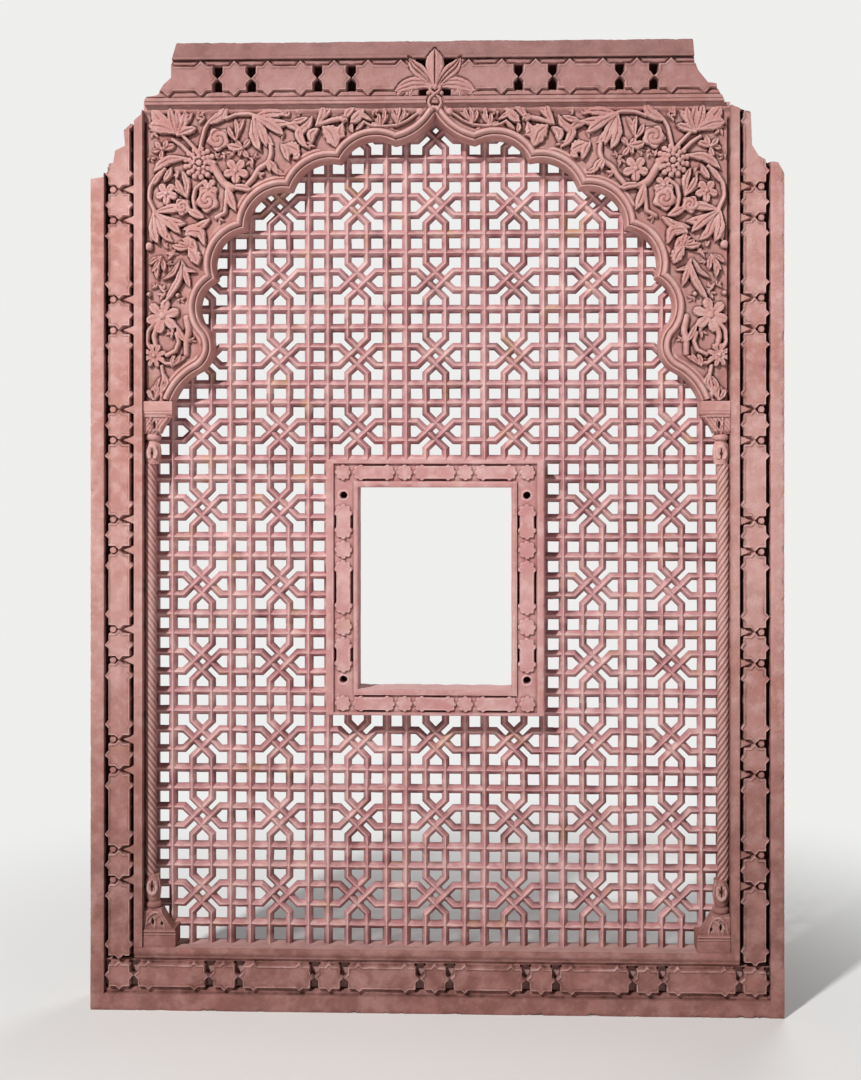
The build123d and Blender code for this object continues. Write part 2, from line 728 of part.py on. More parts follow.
def build_window_jamb(name, side):
    """An upright of the window frame, with two holes for shutter pins."""
    with BuildPart() as jamb:
        with BuildSketch(facing(frame_back)):
            with Locations((side * (window_half_width + frame_out) / 2, (frame_low + frame_high) / 2)):
                Rectangle(frame_out - window_half_width, frame_high - frame_low)
        extrude(amount=frame_back - frame_face)
        with BuildSketch(facing(frame_face + window_band_depth)):
            with Locations((side * (band_edge + window_band / 2), (sill_band_z + head_band_line) / 2)):
                Rectangle(window_band, head_band_line - sill_band_z + window_band)
            with Locations((side * band_edge, sill_band_z), (side * band_edge, head_band_line)):
                Rectangle(2 * window_lip, window_band)
        extrude(amount=window_band_depth, mode=Mode.SUBTRACT)
        with BuildSketch(facing(frame_back)):
            pin_x = side * (window_half_width + pin_inset)
            with Locations((pin_x, opening_low + pin_rise), (pin_x, opening_high - pin_drop)):
                Circle(pin_hole / 2)
        extrude(amount=frame_back - frame_face, mode=Mode.SUBTRACT)
        with Locations((side * window_half_width, window_tenon_y, sill_band_z),
                       (side * window_half_width, window_tenon_y, head_band_line)):
            Box(2 * (window_tenon + joint), tenon_section[0] + 2 * joint,
                tenon_section[1] + 2 * joint, mode=Mode.SUBTRACT)
    jamb.part.label = name
    return jamb.part


def build_window_rail(name, low, high, band_z):
    """The sill or the head of the window frame, tenoned into the jambs."""
    with BuildPart() as rail:
        with BuildSketch(facing(frame_back)):
            with Locations((0, (low + high) / 2)):
                Rectangle(2 * window_half_width - joint, high - low)
        extrude(amount=frame_back - frame_face)
        with BuildSketch(facing(frame_face + window_band_depth)):
            with Locations((0, band_z)):
                Rectangle(2 * window_half_width, window_band)
        extrude(amount=window_band_depth, mode=Mode.SUBTRACT)
        with Locations((0, window_tenon_y, band_z)):
            Box(2 * (window_half_width + window_tenon), *tenon_section)
    rail.part.label = name
    return rail.part


window_parts = [
    build_window_jamb("window_left_jamb", -1),
    build_window_jamb("window_right_jamb", 1),
    build_window_rail("window_sill", frame_low, opening_low, sill_band_z),
    build_window_rail("window_head", opening_high, frame_high, head_band_line),
]

# ---- iron dowels -----------------------------------------------------------

with BuildPart() as stone_dowels:
    with Locations((head_dowel_x, dowel_y, head_bottom), (-head_dowel_x, dowel_y, head_bottom),
                   Location((field_half, dowel_y, side_dowel_z), (0, 90, 0)),
                   Location((-field_half, dowel_y, side_dowel_z), (0, 90, 0))):
        Cylinder(dowel_diameter / 2, dowel_length)
stone_dowels.part.label = "stone_dowels"

with BuildPart() as column_pins:
    with Locations(*[(side * shaft_x, shaft_y, z) for side in (-1, 1)
                     for z in (shaft_low, shaft_high)]):
        Cylinder(column_pin_diameter / 2, column_pin_length)
column_pins.part.label = "column_pins"

# ---- write the stones ------------------------------------------------------

os.makedirs("parts", exist_ok=True)
pieces = [base_rail.part, left_stile, right_stile, head_rail.part, lattice_bottom,
          *lattice_sides, lattice_top, *column_parts, *arch_parts, finial.part,
          *window_parts, stone_dowels.part, column_pins.part]
for piece in pieces:
    export_step(piece, f"parts/{piece.label}.step")
print(len(pieces), "pieces, the screen is", round(2 * half_width, 1), "wide and",
      round(head_top, 1), "high")
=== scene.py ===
import math

import bmesh
import bpy
import numpy as np
from mathutils.geometry import delaunay_2d_cdt
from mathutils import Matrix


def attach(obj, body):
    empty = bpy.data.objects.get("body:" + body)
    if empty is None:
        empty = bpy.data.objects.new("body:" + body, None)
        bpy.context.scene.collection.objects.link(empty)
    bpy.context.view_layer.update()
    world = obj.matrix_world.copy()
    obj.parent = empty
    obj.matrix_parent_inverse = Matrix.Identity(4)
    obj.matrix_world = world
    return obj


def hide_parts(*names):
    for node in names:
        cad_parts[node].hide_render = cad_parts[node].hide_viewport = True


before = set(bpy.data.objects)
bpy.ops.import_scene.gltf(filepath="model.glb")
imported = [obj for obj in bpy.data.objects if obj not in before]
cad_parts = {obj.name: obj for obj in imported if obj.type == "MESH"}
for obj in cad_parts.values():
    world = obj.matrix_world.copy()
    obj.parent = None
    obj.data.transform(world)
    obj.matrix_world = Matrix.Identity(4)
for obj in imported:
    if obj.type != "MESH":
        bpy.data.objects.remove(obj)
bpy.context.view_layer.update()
print("frame loaded")

# Lengths below are millimetres and become metres in makePiece.
# x runs across the screen, y into it (the carved face is at -55) and z up.


screen = {
    "halfWidth": 694.9, "top": 1949.5, "front": -55.0, "back": 55.0,
    "baseTop": 127.0, "stileFoot": 100.0, "headBottom": 1825.5,
    "jambIn": 571.0, "filletIn": 589.9, "bandIn": 606.9, "bandOut": 667.9,
    "spring": 1228.0, "archHalf": 533.9, "archRise": 578.0,
    "wall": -11.0,       # the plane that the columns and their stones stand against
    "plainSide": -0.35,  # paler colour on faces that carry no relief
}
sideNames = {-1: "left", 1: "right"}

randomTable = np.random.RandomState(11).rand(4096)


def valueNoise(a, b, seed=0):
    # smooth value noise: random values at whole numbers, blended with a cubic ease, -1 to 1
    ai, bi = np.floor(a).astype(np.int64), np.floor(b).astype(np.int64)
    fa, fb = a - ai, b - bi
    fa, fb = fa * fa * (3 - 2 * fa), fb * fb * (3 - 2 * fb)

    def at(i, k):
        return randomTable[((i * 73856093) ^ (k * 19349663) ^ (seed * 83492791)) & 4095]

    low = at(ai, bi) * (1 - fa) + at(ai + 1, bi) * fa
    high = at(ai, bi + 1) * (1 - fa) + at(ai + 1, bi + 1) * fa
    return (low * (1 - fb) + high * fb) * 2 - 1


def roughNoise(a, b, size, seed=0, octaves=3):
    # three sizes of value noise added up, each half as large and half as strong
    total, weight = 0, 0
    for octave in range(octaves):
        share = 0.5 ** octave
        total = total + share * valueNoise(a / size * 2 ** octave + 17.3 * octave,
                                           b / size * 2 ** octave - 9.1 * octave, seed + octave)
        weight += share
    return total / weight


def ease(value, low, high):
    # 0 below low, 1 above high, smooth between them
    share = np.clip((value - low) / (high - low), 0, 1)
    return share * share * (3 - 2 * share)


def gridFaces(rows, cols, closeCols=False):
    # four corners of each cell of a grid whose points are numbered row by row
    r, c = np.meshgrid(np.arange(rows - 1), np.arange(cols if closeCols else cols - 1), indexing="ij")
    c2 = (c + 1) % cols
    quads = np.stack([r * cols + c, r * cols + c2, (r + 1) * cols + c2, (r + 1) * cols + c], -1)
    return quads.reshape(-1, 4)


class Shape:
    # collects the points and faces of one piece, and how hollow the stone is at each point: the value for
    # painted shade in hollows and for painted highlight and wear on edges

    def __init__(self):
        self.points, self.hollows, self.quads, self.others, self.count = [], [], [], [], 0

    def add(self, points, quads, others=(), hollow=0.0):
        points = np.asarray(points, float).reshape(-1, 3)
        self.quads.append(quads + self.count)
        self.others += [[int(corner) + self.count for corner in face] for face in others]
        self.points.append(points)
        self.hollows.append(np.broadcast_to(np.ravel(hollow), (len(points),)))
        self.count += len(points)

    def addTube(self, points, hollow):
        # rows of points joined into a tube, with one face at each end
        rows, cols = np.shape(points)[:2]
        last = rows * cols - 1
        ends = [list(range(cols)), list(range(last, last - cols, -1))]
        self.add(points, gridFaces(rows, cols, closeCols=True), ends, hollow)


def addObject(name, data):
    # a new object, linked to the scene
    made = bpy.data.objects.new(name, data)
    bpy.context.scene.collection.objects.link(made)
    return made


def makePiece(name, shape, material, replaces=(), sharp=38, merge=0.02):
    # millimetres to metres, faces turned outwards, riding on the screen
    mesh = bpy.data.meshes.new(name)
    points = np.concatenate(shape.points) * 0.001
    quads = np.concatenate(shape.quads)
    lengths = np.concatenate([np.full(len(quads), 4), [len(face) for face in shape.others]]).astype(np.int32)
    corners = np.concatenate([quads.ravel(), *map(np.array, shape.others)]).astype(np.int32)
    mesh.vertices.add(len(points))
    mesh.vertices.foreach_set("co", points.astype(np.float32).ravel())
    mesh.loops.add(len(corners))
    mesh.loops.foreach_set("vertex_index", corners)
    mesh.polygons.add(len(lengths))
    mesh.polygons.foreach_set("loop_start", (np.cumsum(lengths) - lengths).astype(np.int32))
    mesh.polygons.foreach_set("loop_total", lengths)
    mesh.update(calc_edges=True)
    # the hollow attribute carries painted shade in hollows and painted highlight and wear on edges, with the
    # tints
    hollow = mesh.attributes.new("hollow", "FLOAT", "POINT")
    hollow.data.foreach_set("value", np.concatenate(shape.hollows).astype(np.float32))
    work = bmesh.new()
    work.from_mesh(mesh)
    if merge:
        bmesh.ops.remove_doubles(work, verts=work.verts, dist=merge * 0.001)
        bmesh.ops.dissolve_degenerate(work, edges=work.edges, dist=merge * 0.0005)
    # what is still open, such as the back of a sheet from cutOut, is filled with triangles
    bmesh.ops.triangle_fill(work, edges=[edge for edge in work.edges if edge.is_boundary])
    bmesh.ops.recalc_face_normals(work, faces=work.faces)
    work.to_mesh(mesh)
    work.free()
    mesh.polygons.foreach_set("use_smooth", np.ones(len(mesh.polygons), bool))
    mesh.set_sharp_from_angle(angle=math.radians(sharp))
    mesh.materials.append(material)
    piece = addObject(name, mesh)
    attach(piece, "root")
    if replaces:
        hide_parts(*replaces)
    print(name, len(mesh.vertices), "points")


def blur(field, reach):
    # running mean over reach cells each way, from running sums
    size = 2 * reach + 1
    for axis in (0, 1):
        padded = np.pad(field, [(reach, reach) if k == axis else (0, 0) for k in (0, 1)], mode="edge")
        sums = np.insert(np.cumsum(padded, axis=axis), 0, 0, axis=axis)
        upper = np.take(sums, np.arange(size, sums.shape[axis]), axis=axis)
        lower = np.take(sums, np.arange(0, sums.shape[axis] - size), axis=axis)
        field = (upper - lower) / size
    return field


def reliefStone(shape, x, z, y, back, hollowScale=7.0, reach=4, dark=None, tint=0.0, sides=0.0):
    # front: y over a grid of x and z; sides: its border carried straight back; back: one flat face
    # recesses get a high hollow value, painted shade, and raised edges a low one, painted highlight and wear
    hollow = np.clip((y - blur(y, reach)) / hollowScale, -1, 1)
    # below the depths given in dark the face takes painted shade as well
    if dark:
        hollow = np.maximum(hollow, ease(y, *dark))
    front = np.stack([x, y, z], -1).reshape(-1, 3)
    total = len(front)
    index = np.arange(total).reshape(y.shape)
    ring = np.concatenate([index[0, :], index[1:, -1], index[-1, -2::-1], index[-2:0:-1, 0]])
    # a first ring close to the front keeps the arris crisp, a second one lies in the back
    near, far = front[ring], front[ring]
    arris = 2.5
    near[:, 1] = np.minimum(near[:, 1] + arris, back - 1)
    far[:, 1] = back
    count = len(ring)
    levels = [ring, total + np.arange(count), total + count + np.arange(count)]
    quads = [gridFaces(*y.shape)]
    for first, second in zip(levels, levels[1:]):
        quads.append(np.stack([first, np.roll(first, -1), np.roll(second, -1), second], -1))
    # the back is a constrained triangulation of the outline seen from the front
    outline = [tuple(map(float, point)) for point in far[:, [0, 2]]]
    made = delaunay_2d_cdt(outline, [], [list(range(count))], 1, 1e-4)
    corners = np.array([(corner[0], back, corner[1]) for corner in made[0]])
    backFaces = [[total + 2 * count + corner for corner in face] for face in made[2]]
    hollows = np.concatenate([(hollow + tint).ravel(), np.full(2 * count + len(corners), sides)])
    shape.add(np.concatenate([front, near, far, corners]), np.concatenate(quads), backFaces, hollows)


def prism(shape, start, stop, outline):
    # an outline of (y, z) carried straight from one x to another
    shape.addTube([[(x, y, z) for y, z in outline] for x in (start, stop)], screen["plainSide"])


def newGroup(name, inputs, outputs):
    # an empty node group with sockets of the given labels and kinds
    group = bpy.data.node_groups.new(name, "ShaderNodeTree")
    for way, sockets in (("INPUT", inputs), ("OUTPUT", outputs)):
        for label, kind in sockets.items():
            group.interface.new_socket(name=label, in_out=way, socket_type="NodeSocket" + kind)
    return group, group.nodes.new("NodeGroupInput"), group.nodes.new("NodeGroupOutput")


def newMaterial(name):
    # a material with its node tree and its shader
    material = bpy.data.materials.new(name)
    material.use_nodes = True
    return material, material.node_tree, material.node_tree.nodes["Principled BSDF"]


def addNode(tree, kind, settings=(), **values):
    # settings are properties of the node, values are constants on its sockets
    node = tree.nodes.new(kind)
    for key, value in dict(settings).items():
        setattr(node, key, value)
    for key, value in values.items():
        node.inputs[key].default_value = value
    return node


def multiply(tree, first, second):
    # first times second
    node = addNode(tree, "ShaderNodeMath", {"operation": "MULTIPLY"})
    tree.links.new(first, node.inputs[0])
    tree.links.new(second, node.inputs[1])
    return node.outputs[0]


def addNoise(tree, position, scale, detail=3.0, rough=0.5):
    # smooth noise from 0 to 1 with so many waves in a metre
    node = addNode(tree, "ShaderNodeTexNoise", Scale=scale, Detail=detail, Roughness=rough)
    tree.links.new(position, node.inputs["Vector"])
    return node.outputs["Fac"]


def mixColours(tree, factor, first, second, blend="MIX"):
    # factor 0 gives the first colour and 1 the second; each may be a constant or a socket
    node = tree.nodes.new("ShaderNodeMix")
    node.data_type, node.blend_type = "RGBA", blend
    for socket, value in zip((node.inputs[0], node.inputs[6], node.inputs[7]), (factor, first, second)):
        if hasattr(value, "is_linked"):
            tree.links.new(value, socket)
        else:
            socket.default_value = value
    return node.outputs[2]


def remap(tree, value, low, high, toLow=0.0, toHigh=1.0):
    # a smooth step from toLow at low to toHigh at high
    node = tree.nodes.new("ShaderNodeMapRange")
    node.interpolation_type = "SMOOTHSTEP"
    tree.links.new(value, node.inputs["Value"])
    for key, number in (("From Min", low), ("From Max", high), ("To Min", toLow), ("To Max", toHigh)):
        node.inputs[key].default_value = number
    return node.outputs["Result"]


# dark colours: towards the foot, at the top, and the painted shade in the hollows
darkTones = {
    "foot": (0.236, 0.102, 0.086, 1), "top": (0.320, 0.162, 0.155, 1), "hollow": (0.045, 0.012, 0.008, 1),
}


def buildStoneGroup():
    # blotches, ochre stains, pale dust, painted shade in the hollows, pale edges that are partly wear and
    # partly painted highlight, and a sandy grain
    colours = dict.fromkeys(("Stone", "Dark", "Pale", "Ochre"), "Color")
    amounts = dict.fromkeys(("Hollow", "HollowShade", "Stains", "Foot"), "Float")
    group, inputs, outputs = newGroup("stoneSurface", {"Vector": "Vector", **colours, **amounts},
                                      {"Color": "Color", "Roughness": "Float", "Height": "Float"})
    link, given = group.links.new, inputs.outputs
    position = given["Vector"]
    blotch = remap(group, addNoise(group, position, 5.5, rough=0.55), 0.36, 0.66)
    colour = mixColours(group, blotch, given["Stone"], given["Dark"])
    small = remap(group, addNoise(group, position, 38.0, 4.0, 0.55), 0.42, 0.72, 0.0, 0.55)
    colour = mixColours(group, small, colour, given["Pale"])
    stain = remap(group, addNoise(group, position, 16.0, 5.0, 0.65), 0.55, 0.74)
    colour = mixColours(group, multiply(group, stain, given["Stains"]), colour, given["Ochre"])
    # browner and darker towards the foot, in uneven patches
    split = addNode(group, "ShaderNodeSeparateXYZ")
    link(position, split.inputs[0])
    low = multiply(group, remap(group, split.outputs["Z"], 1.00, 0.10), given["Foot"])
    uneven = remap(group, addNoise(group, position, 24.0, 5.0, 0.62), 0.38, 0.62, 0.72, 1.06)
    colour = mixColours(group, multiply(group, low, uneven), colour, darkTones["foot"])
    # and greyer at the very top
    high = multiply(group, remap(group, split.outputs["Z"], 1.58, 2.06), given["Foot"])
    colour = mixColours(group, high, colour, darkTones["top"])
    # painted shade in the hollows, and pale edges that are partly wear and partly painted highlight
    shadeMask = multiply(group, remap(group, given["Hollow"], 0.05, 0.9), given["HollowShade"])
    colour = mixColours(group, shadeMask, colour, darkTones["hollow"])
    worn = remap(group, given["Hollow"], -0.06, -0.5, 0.0, 0.5)
    colour = mixColours(group, worn, colour, given["Pale"])
    grain = addNoise(group, position, 900.0, 2.0, 0.6)
    speck = remap(group, grain, 0.35, 0.7, 0.9, 1.08)
    speckColour = addNode(group, "ShaderNodeCombineColor")
    for key in ("Red", "Green", "Blue"):
        link(speck, speckColour.inputs[key])
    colour = mixColours(group, 1.0, colour, speckColour.outputs[0], "MULTIPLY")
    link(colour, outputs.inputs["Color"])
    link(remap(group, blotch, 0, 1, 0.78, 0.92), outputs.inputs["Roughness"])
    # the height for the bump: coarse marks of the tools and the fine grain
    total = addNode(group, "ShaderNodeMath", {"operation": "MULTIPLY_ADD"})
    link(addNoise(group, position, 140.0, 4.0, 0.7), total.inputs[0])
    total.inputs[1].default_value = 2.4
    link(grain, total.inputs[2])
    link(total.outputs[0], outputs.inputs["Height"])
    return group


stoneGroup = buildStoneGroup()

# Stone is blotched with Dark, dusted and worn to Pale, which also gives the painted highlight on edges, and
# stained with Ochre; the rest are amounts, one of them the strength of the painted shade in hollows
stoneFinishes = {
    "bars": {"Stone": (0.580, 0.298, 0.312), "Dark": (0.485, 0.210, 0.220), "Pale": (0.860, 0.600, 0.560),
             "Ochre": (0.560, 0.340, 0.160), "HollowShade": 0.70, "Stains": 0.75, "Foot": 0.28},
    "border": {"Stone": (0.600, 0.330, 0.300), "Dark": (0.500, 0.230, 0.200), "Pale": (0.730, 0.480, 0.450),
               "Ochre": (0.500, 0.250, 0.160), "HollowShade": 0.95, "Stains": 0.60, "Foot": 0.92},
    "carving": {"Stone": (0.610, 0.330, 0.300), "Dark": (0.540, 0.260, 0.235), "Pale": (0.730, 0.480, 0.445),
                "Ochre": (0.560, 0.320, 0.190), "HollowShade": 0.92, "Stains": 0.30, "Foot": 0.45},
    "frameStone": {"Stone": (0.640, 0.345, 0.335), "Dark": (0.560, 0.265, 0.255),
                   "Pale": (0.780, 0.530, 0.510), "Ochre": (0.600, 0.350, 0.230),
                   "HollowShade": 0.85, "Stains": 0.40, "Foot": 0.25},
}


def stoneMaterial(finish, name=None, carved=True):
    # the stone group with one finish; without carving it takes no painted shade, painted highlight or wear
    # from the hollows
    material, tree, shader = newMaterial("sandstone_" + (name or finish))
    shader.inputs["Specular IOR Level"].default_value = 0.25
    place = tree.nodes.new("ShaderNodeTexCoord")
    surface = tree.nodes.new("ShaderNodeGroup")
    surface.node_tree = stoneGroup
    for key, value in stoneFinishes[finish].items():
        surface.inputs[key].default_value = (*value, 1) if isinstance(value, tuple) else value
    tree.links.new(place.outputs["Object"], surface.inputs["Vector"])
    if carved:
        hollow = addNode(tree, "ShaderNodeAttribute", {"attribute_name": "hollow"})
        tree.links.new(hollow.outputs["Fac"], surface.inputs["Hollow"])
    bump = addNode(tree, "ShaderNodeBump", Strength=0.6, Distance=0.0012)
    tree.links.new(surface.outputs["Color"], shader.inputs["Base Color"])
    tree.links.new(surface.outputs["Roughness"], shader.inputs["Roughness"])
    tree.links.new(surface.outputs["Height"], bump.inputs["Height"])
    tree.links.new(bump.outputs["Normal"], shader.inputs["Normal"])
    return material


ironLook = {"dark": (0.05, 0.045, 0.042, 1), "rust": (0.16, 0.06, 0.03, 1), "metallic": 0.85}


def ironMaterial():
    # dark forged metal with patches of rust
    material, tree, shader = newMaterial("forgedIron")
    shader.inputs["Metallic"].default_value = ironLook["metallic"]
    place = tree.nodes.new("ShaderNodeTexCoord")
    rust = addNoise(tree, place.outputs["Object"], 120.0, 4.0)
    mask = remap(tree, rust, 0.45, 0.65)
    tree.links.new(mixColours(tree, mask, ironLook["dark"], ironLook["rust"]), shader.inputs["Base Color"])
    tree.links.new(remap(tree, rust, 0.3, 0.7, 0.45, 0.85), shader.inputs["Roughness"])
    return material


barStone = stoneMaterial("bars")
borderStone = stoneMaterial("border")
carvedStone = stoneMaterial("carving")
frameStone = stoneMaterial("frameStone")
groundStone = stoneMaterial("carving", "ground", carved=False)
iron = ironMaterial()
for node, material in (("stone_dowels", iron), ("column_pins", iron),
                       ("left_spandrel", groundStone), ("right_spandrel", groundStone)):
    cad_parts[node].data.materials.clear()
    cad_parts[node].data.materials.append(material)
print("materials ready")


archArcs = (((0.961, 0.062), (0.895, 0.109)), ((0.848, 0.176), (0.867, 0.249)),
            ((0.901, 0.341), (0.833, 0.429)), ((0.830, 0.531), (0.721, 0.604)),
            ((0.676, 0.706), (0.547, 0.741)), ((0.478, 0.822), (0.359, 0.839)),
            ((0.258, 0.917), (0.152, 0.903)), ((0.069, 0.934), (0.000, 1.000)))


def archLine(step=2.5):
    # the right half of the arch as points and outward normals, arc by arc from three points each
    points, normals = [], []
    foot, size = np.array([0.0, screen["spring"]]), np.array([screen["archHalf"], screen["archRise"]])
    begin = foot + size * (1, 0)
    for through, end in archArcs:
        mid, stop = foot + size * through, foot + size * end
        system = 2 * np.array([mid - begin, stop - begin])
        centre = np.linalg.solve(system, [mid @ mid - begin @ begin, stop @ stop - begin @ begin])
        radius = np.linalg.norm(begin - centre)
        angles = np.unwrap([math.atan2(*(p - centre)[::-1]) for p in (begin, mid, stop)])
        if (angles[1] - angles[0]) * (angles[2] - angles[1]) < 0:
            angles[2] += 2 * math.pi * np.sign(angles[1] - angles[0])
        count = max(4, int(abs(angles[2] - angles[0]) * radius / step))
        angle = np.linspace(angles[0], angles[2], count + 1)
        ray = np.stack([np.cos(angle), np.sin(angle)], -1)
        points.append(centre + radius * ray)
        normals.append(np.sign(angles[2] - angles[0]) * ray)
        begin = stop
    return points, normals


archPieces, archNormals = archLine()
archRight = np.concatenate([piece[:-1] for piece in archPieces] + [archPieces[-1][-1:]])
archWhole = np.concatenate([archRight, archRight[::-1] * [-1, 1]])


def archDistance(x, z, line=archWhole):
    # signed distance to the arch line above the springing: negative under the arch,
    # which is where a level ray to the right crosses the line an odd number of times
    flat = np.stack([np.ravel(x), np.ravel(z)], -1)
    least = np.full(len(flat), 1e9)
    inside = np.zeros(len(flat), bool)
    for a, b in zip(line[:-1], line[1:]):
        edge = b - a
        share = np.clip(((flat - a) @ edge) / max(edge @ edge, 1e-9), 0, 1)
        gap = flat - a - share[:, None] * edge
        least = np.minimum(least, (gap * gap).sum(1))
        crosses = (a[1] > flat[:, 1]) != (b[1] > flat[:, 1])
        if abs(edge[1]) > 1e-9:
            inside ^= crosses & (flat[:, 0] < a[0] + (flat[:, 1] - a[1]) / edge[1] * edge[0])
    distance = np.sqrt(least)
    return np.where(inside, -distance, distance).reshape(np.shape(x))


# the moulding's section from the inner edge to the outer one: (outward offset, depth), and its hollow values:
# painted shade in the grooves, painted highlight on the rolls
mouldingProfile = np.array([
    (-3.0, 3.0), (-1.6, -18.0), (-0.2, -35.5), (0.6, -38.6), (2.0, -40.4), (3.6, -40.0), (4.9, -37.6),
    (5.6, -36.6), (6.4, -39.6), (7.6, -43.8), (9.6, -46.8), (12.0, -48.0), (14.4, -47.2), (16.6, -44.8),
    (18.2, -40.5), (19.0, -34.0), (19.0, 3.0)])
mouldingShadeAndHighlight = np.array([0.10, 0.10, 0.05, -0.40, -0.55, -0.15, 0.40, 0.55, 0.15, -0.15, -0.35, -0.45,
                           -0.35, -0.05, 0.20, 0.55, 0.60])


def clearReach(base, normal, steps, most):
    # how far each normal can run before another part of the arch line is nearer
    reach = np.full(len(base), most)
    for k, (point, way) in enumerate(zip(base, normal)):
        tested = point + steps[:, None] * way
        nearest = np.sqrt(((tested[:, None, :] - archWhole[None, :, :]) ** 2).sum(-1)).min(1)
        bad = np.flatnonzero(nearest < steps - 0.35)
        if len(bad):
            reach[k] = steps[bad[0]] - 0.5
    return reach


def buildArchMoulding(side):
    # the profile stands on the arch line, and its offset stops where another part of the line is nearer
    base, normal = np.concatenate(archPieces), np.concatenate(archNormals)
    # a fan at the point turns the last normal straight up
    last = math.atan2(normal[-1][1], normal[-1][0])
    fan = np.linspace(last, math.pi / 2, 6)[1:]
    base = np.concatenate([base, np.repeat(base[-1:], len(fan), 0)])
    normal = np.concatenate([normal, np.stack([np.cos(fan), np.sin(fan)], -1)])
    offsets, depths = mouldingProfile.T
    widest = offsets[-1]
    steps = np.arange(0.5, widest + 0.6, 0.5)
    reachOut = clearReach(base, normal, steps, widest)
    reachIn = clearReach(base, -normal, steps[:8], -offsets[0])
    run = np.concatenate([[0], np.cumsum(np.linalg.norm(np.diff(base, axis=0), axis=1))])
    sway = 0.5 * roughNoise(run, run * 0 + side * 3, 45.0, 5)
    d = offsets + np.where(offsets > 0.5, sway[:, None] * (offsets < widest - 1), 0)
    d = np.clip(d, -reachIn[:, None], reachOut[:, None])
    depth = depths + 0 * d
    # a clamped offset takes the profile's depth at that offset
    front = slice(1, 16)
    depth[:, front] = np.where(offsets[front] > d[:, front] + 0.01,
                               np.interp(d[:, front], offsets[front], depths[front]), depth[:, front])
    depth[:, 2:15] += 0.45 * roughNoise(run[:, None] + 0 * d[:, 2:15], d[:, 2:15], 14.0, 9)
    x = np.maximum(base[:, :1] + d * normal[:, :1], 0.2)
    z = np.maximum(base[:, 1:] + d * normal[:, 1:], screen["spring"] + 0.3)
    shape = Shape()
    shape.addTube(np.stack([side * x, depth, z], -1), np.tile(mouldingShadeAndHighlight, len(base)))
    name = sideNames[side]
    makePiece(name + "ArchRoll", shape, carvedStone, [name + "_arch_moulding"], sharp=50)


for side in (-1, 1):
    buildArchMoulding(side)
print("arch moulding built")


lattice = {
    "columns": 29, "rows": 44, "cell": 40.0, "foot": 112.0, "low": 118.5,
    "lowerRows": 25, "lowerRow": 39.65, "upperRow": 38.4,
    "barWidth": 18.0, "knotWidth": 15.5, "reach": 0.44, "front": 3.0, "back": 27.0,
    "end": 580.0,        # where the level bars begin, in the jambs
    "edge": 541.0,       # knots whose arms end beyond this are at the edge of the field
    "under": 11.0,       # how far bars run on under the arch moulding
    "weave": 2.6,        # how far a bar dips where another passes over it
    "step": 9.0,         # spacing of the sections along a bar
    "uneven": 0.55,      # hand-cut waver, sideways
    "stained": 0.75,     # how strongly bars are dirty and rubbed in turns
    "windowHalf": 220.0, "windowLow": 594.3, "windowHigh": 1109.75,
}
rowLines = np.array([lattice["low"] + row * lattice["lowerRow"] if row <= lattice["lowerRows"] else
                     lattice["windowHigh"] + (row - lattice["lowerRows"]) * lattice["upperRow"]
                     for row in range(lattice["rows"])])
columnLines = (np.arange(lattice["columns"] + 1) - lattice["columns"] / 2) * lattice["cell"]

# half of a bar's section: ridge in front, two bevels, sides drawn in towards the back
barSection = np.array([(0.0, 0.0), (0.12, 0.25), (1.0, 10.0), (0.94, 14.0), (0.42, 24.0)])
barProfile = np.concatenate([barSection[::-1] * [-1, 1], barSection[1:]])
# painted shade on the bevels' edges, the sides and the back, painted highlight along the ridge
barShadeAndHighlight = np.array([0.25, 0.80, 0.55, -0.25, -0.8, -0.25, 0.55, 0.80, 0.25])


def inField(x, z):
    # where bars are wanted: between the columns or under the arch, and not in the window
    margin = 0.6
    wanted = np.abs(x) <= lattice["end"] + 1
    wanted &= (z <= screen["spring"]) | (archDistance(x, z) < lattice["under"])
    beside = np.abs(x) > lattice["windowHalf"] - margin
    return wanted & (beside | (z < lattice["windowLow"] + margin) | (z > lattice["windowHigh"] - margin))


def resample(corners, dips):
    # points along straight runs, with the corners kept, and the dips carried between them
    line, depth = [corners[0]], [dips[0]]
    for a, b, da, db in zip(corners, corners[1:], dips, dips[1:]):
        length = math.dist(a, b)
        count = max(1, round(length / lattice["step"]))
        for k in range(1, count + 1):
            line.append([a[0] + (b[0] - a[0]) * k / count, a[1] + (b[1] - a[1]) * k / count])
            depth.append(da + (db - da) * k / count)
    return np.array(line), np.array(depth)


def unit(vectors):
    # each row divided by its length
    return vectors / np.maximum(np.linalg.norm(vectors, axis=1), 1e-9)[:, None]


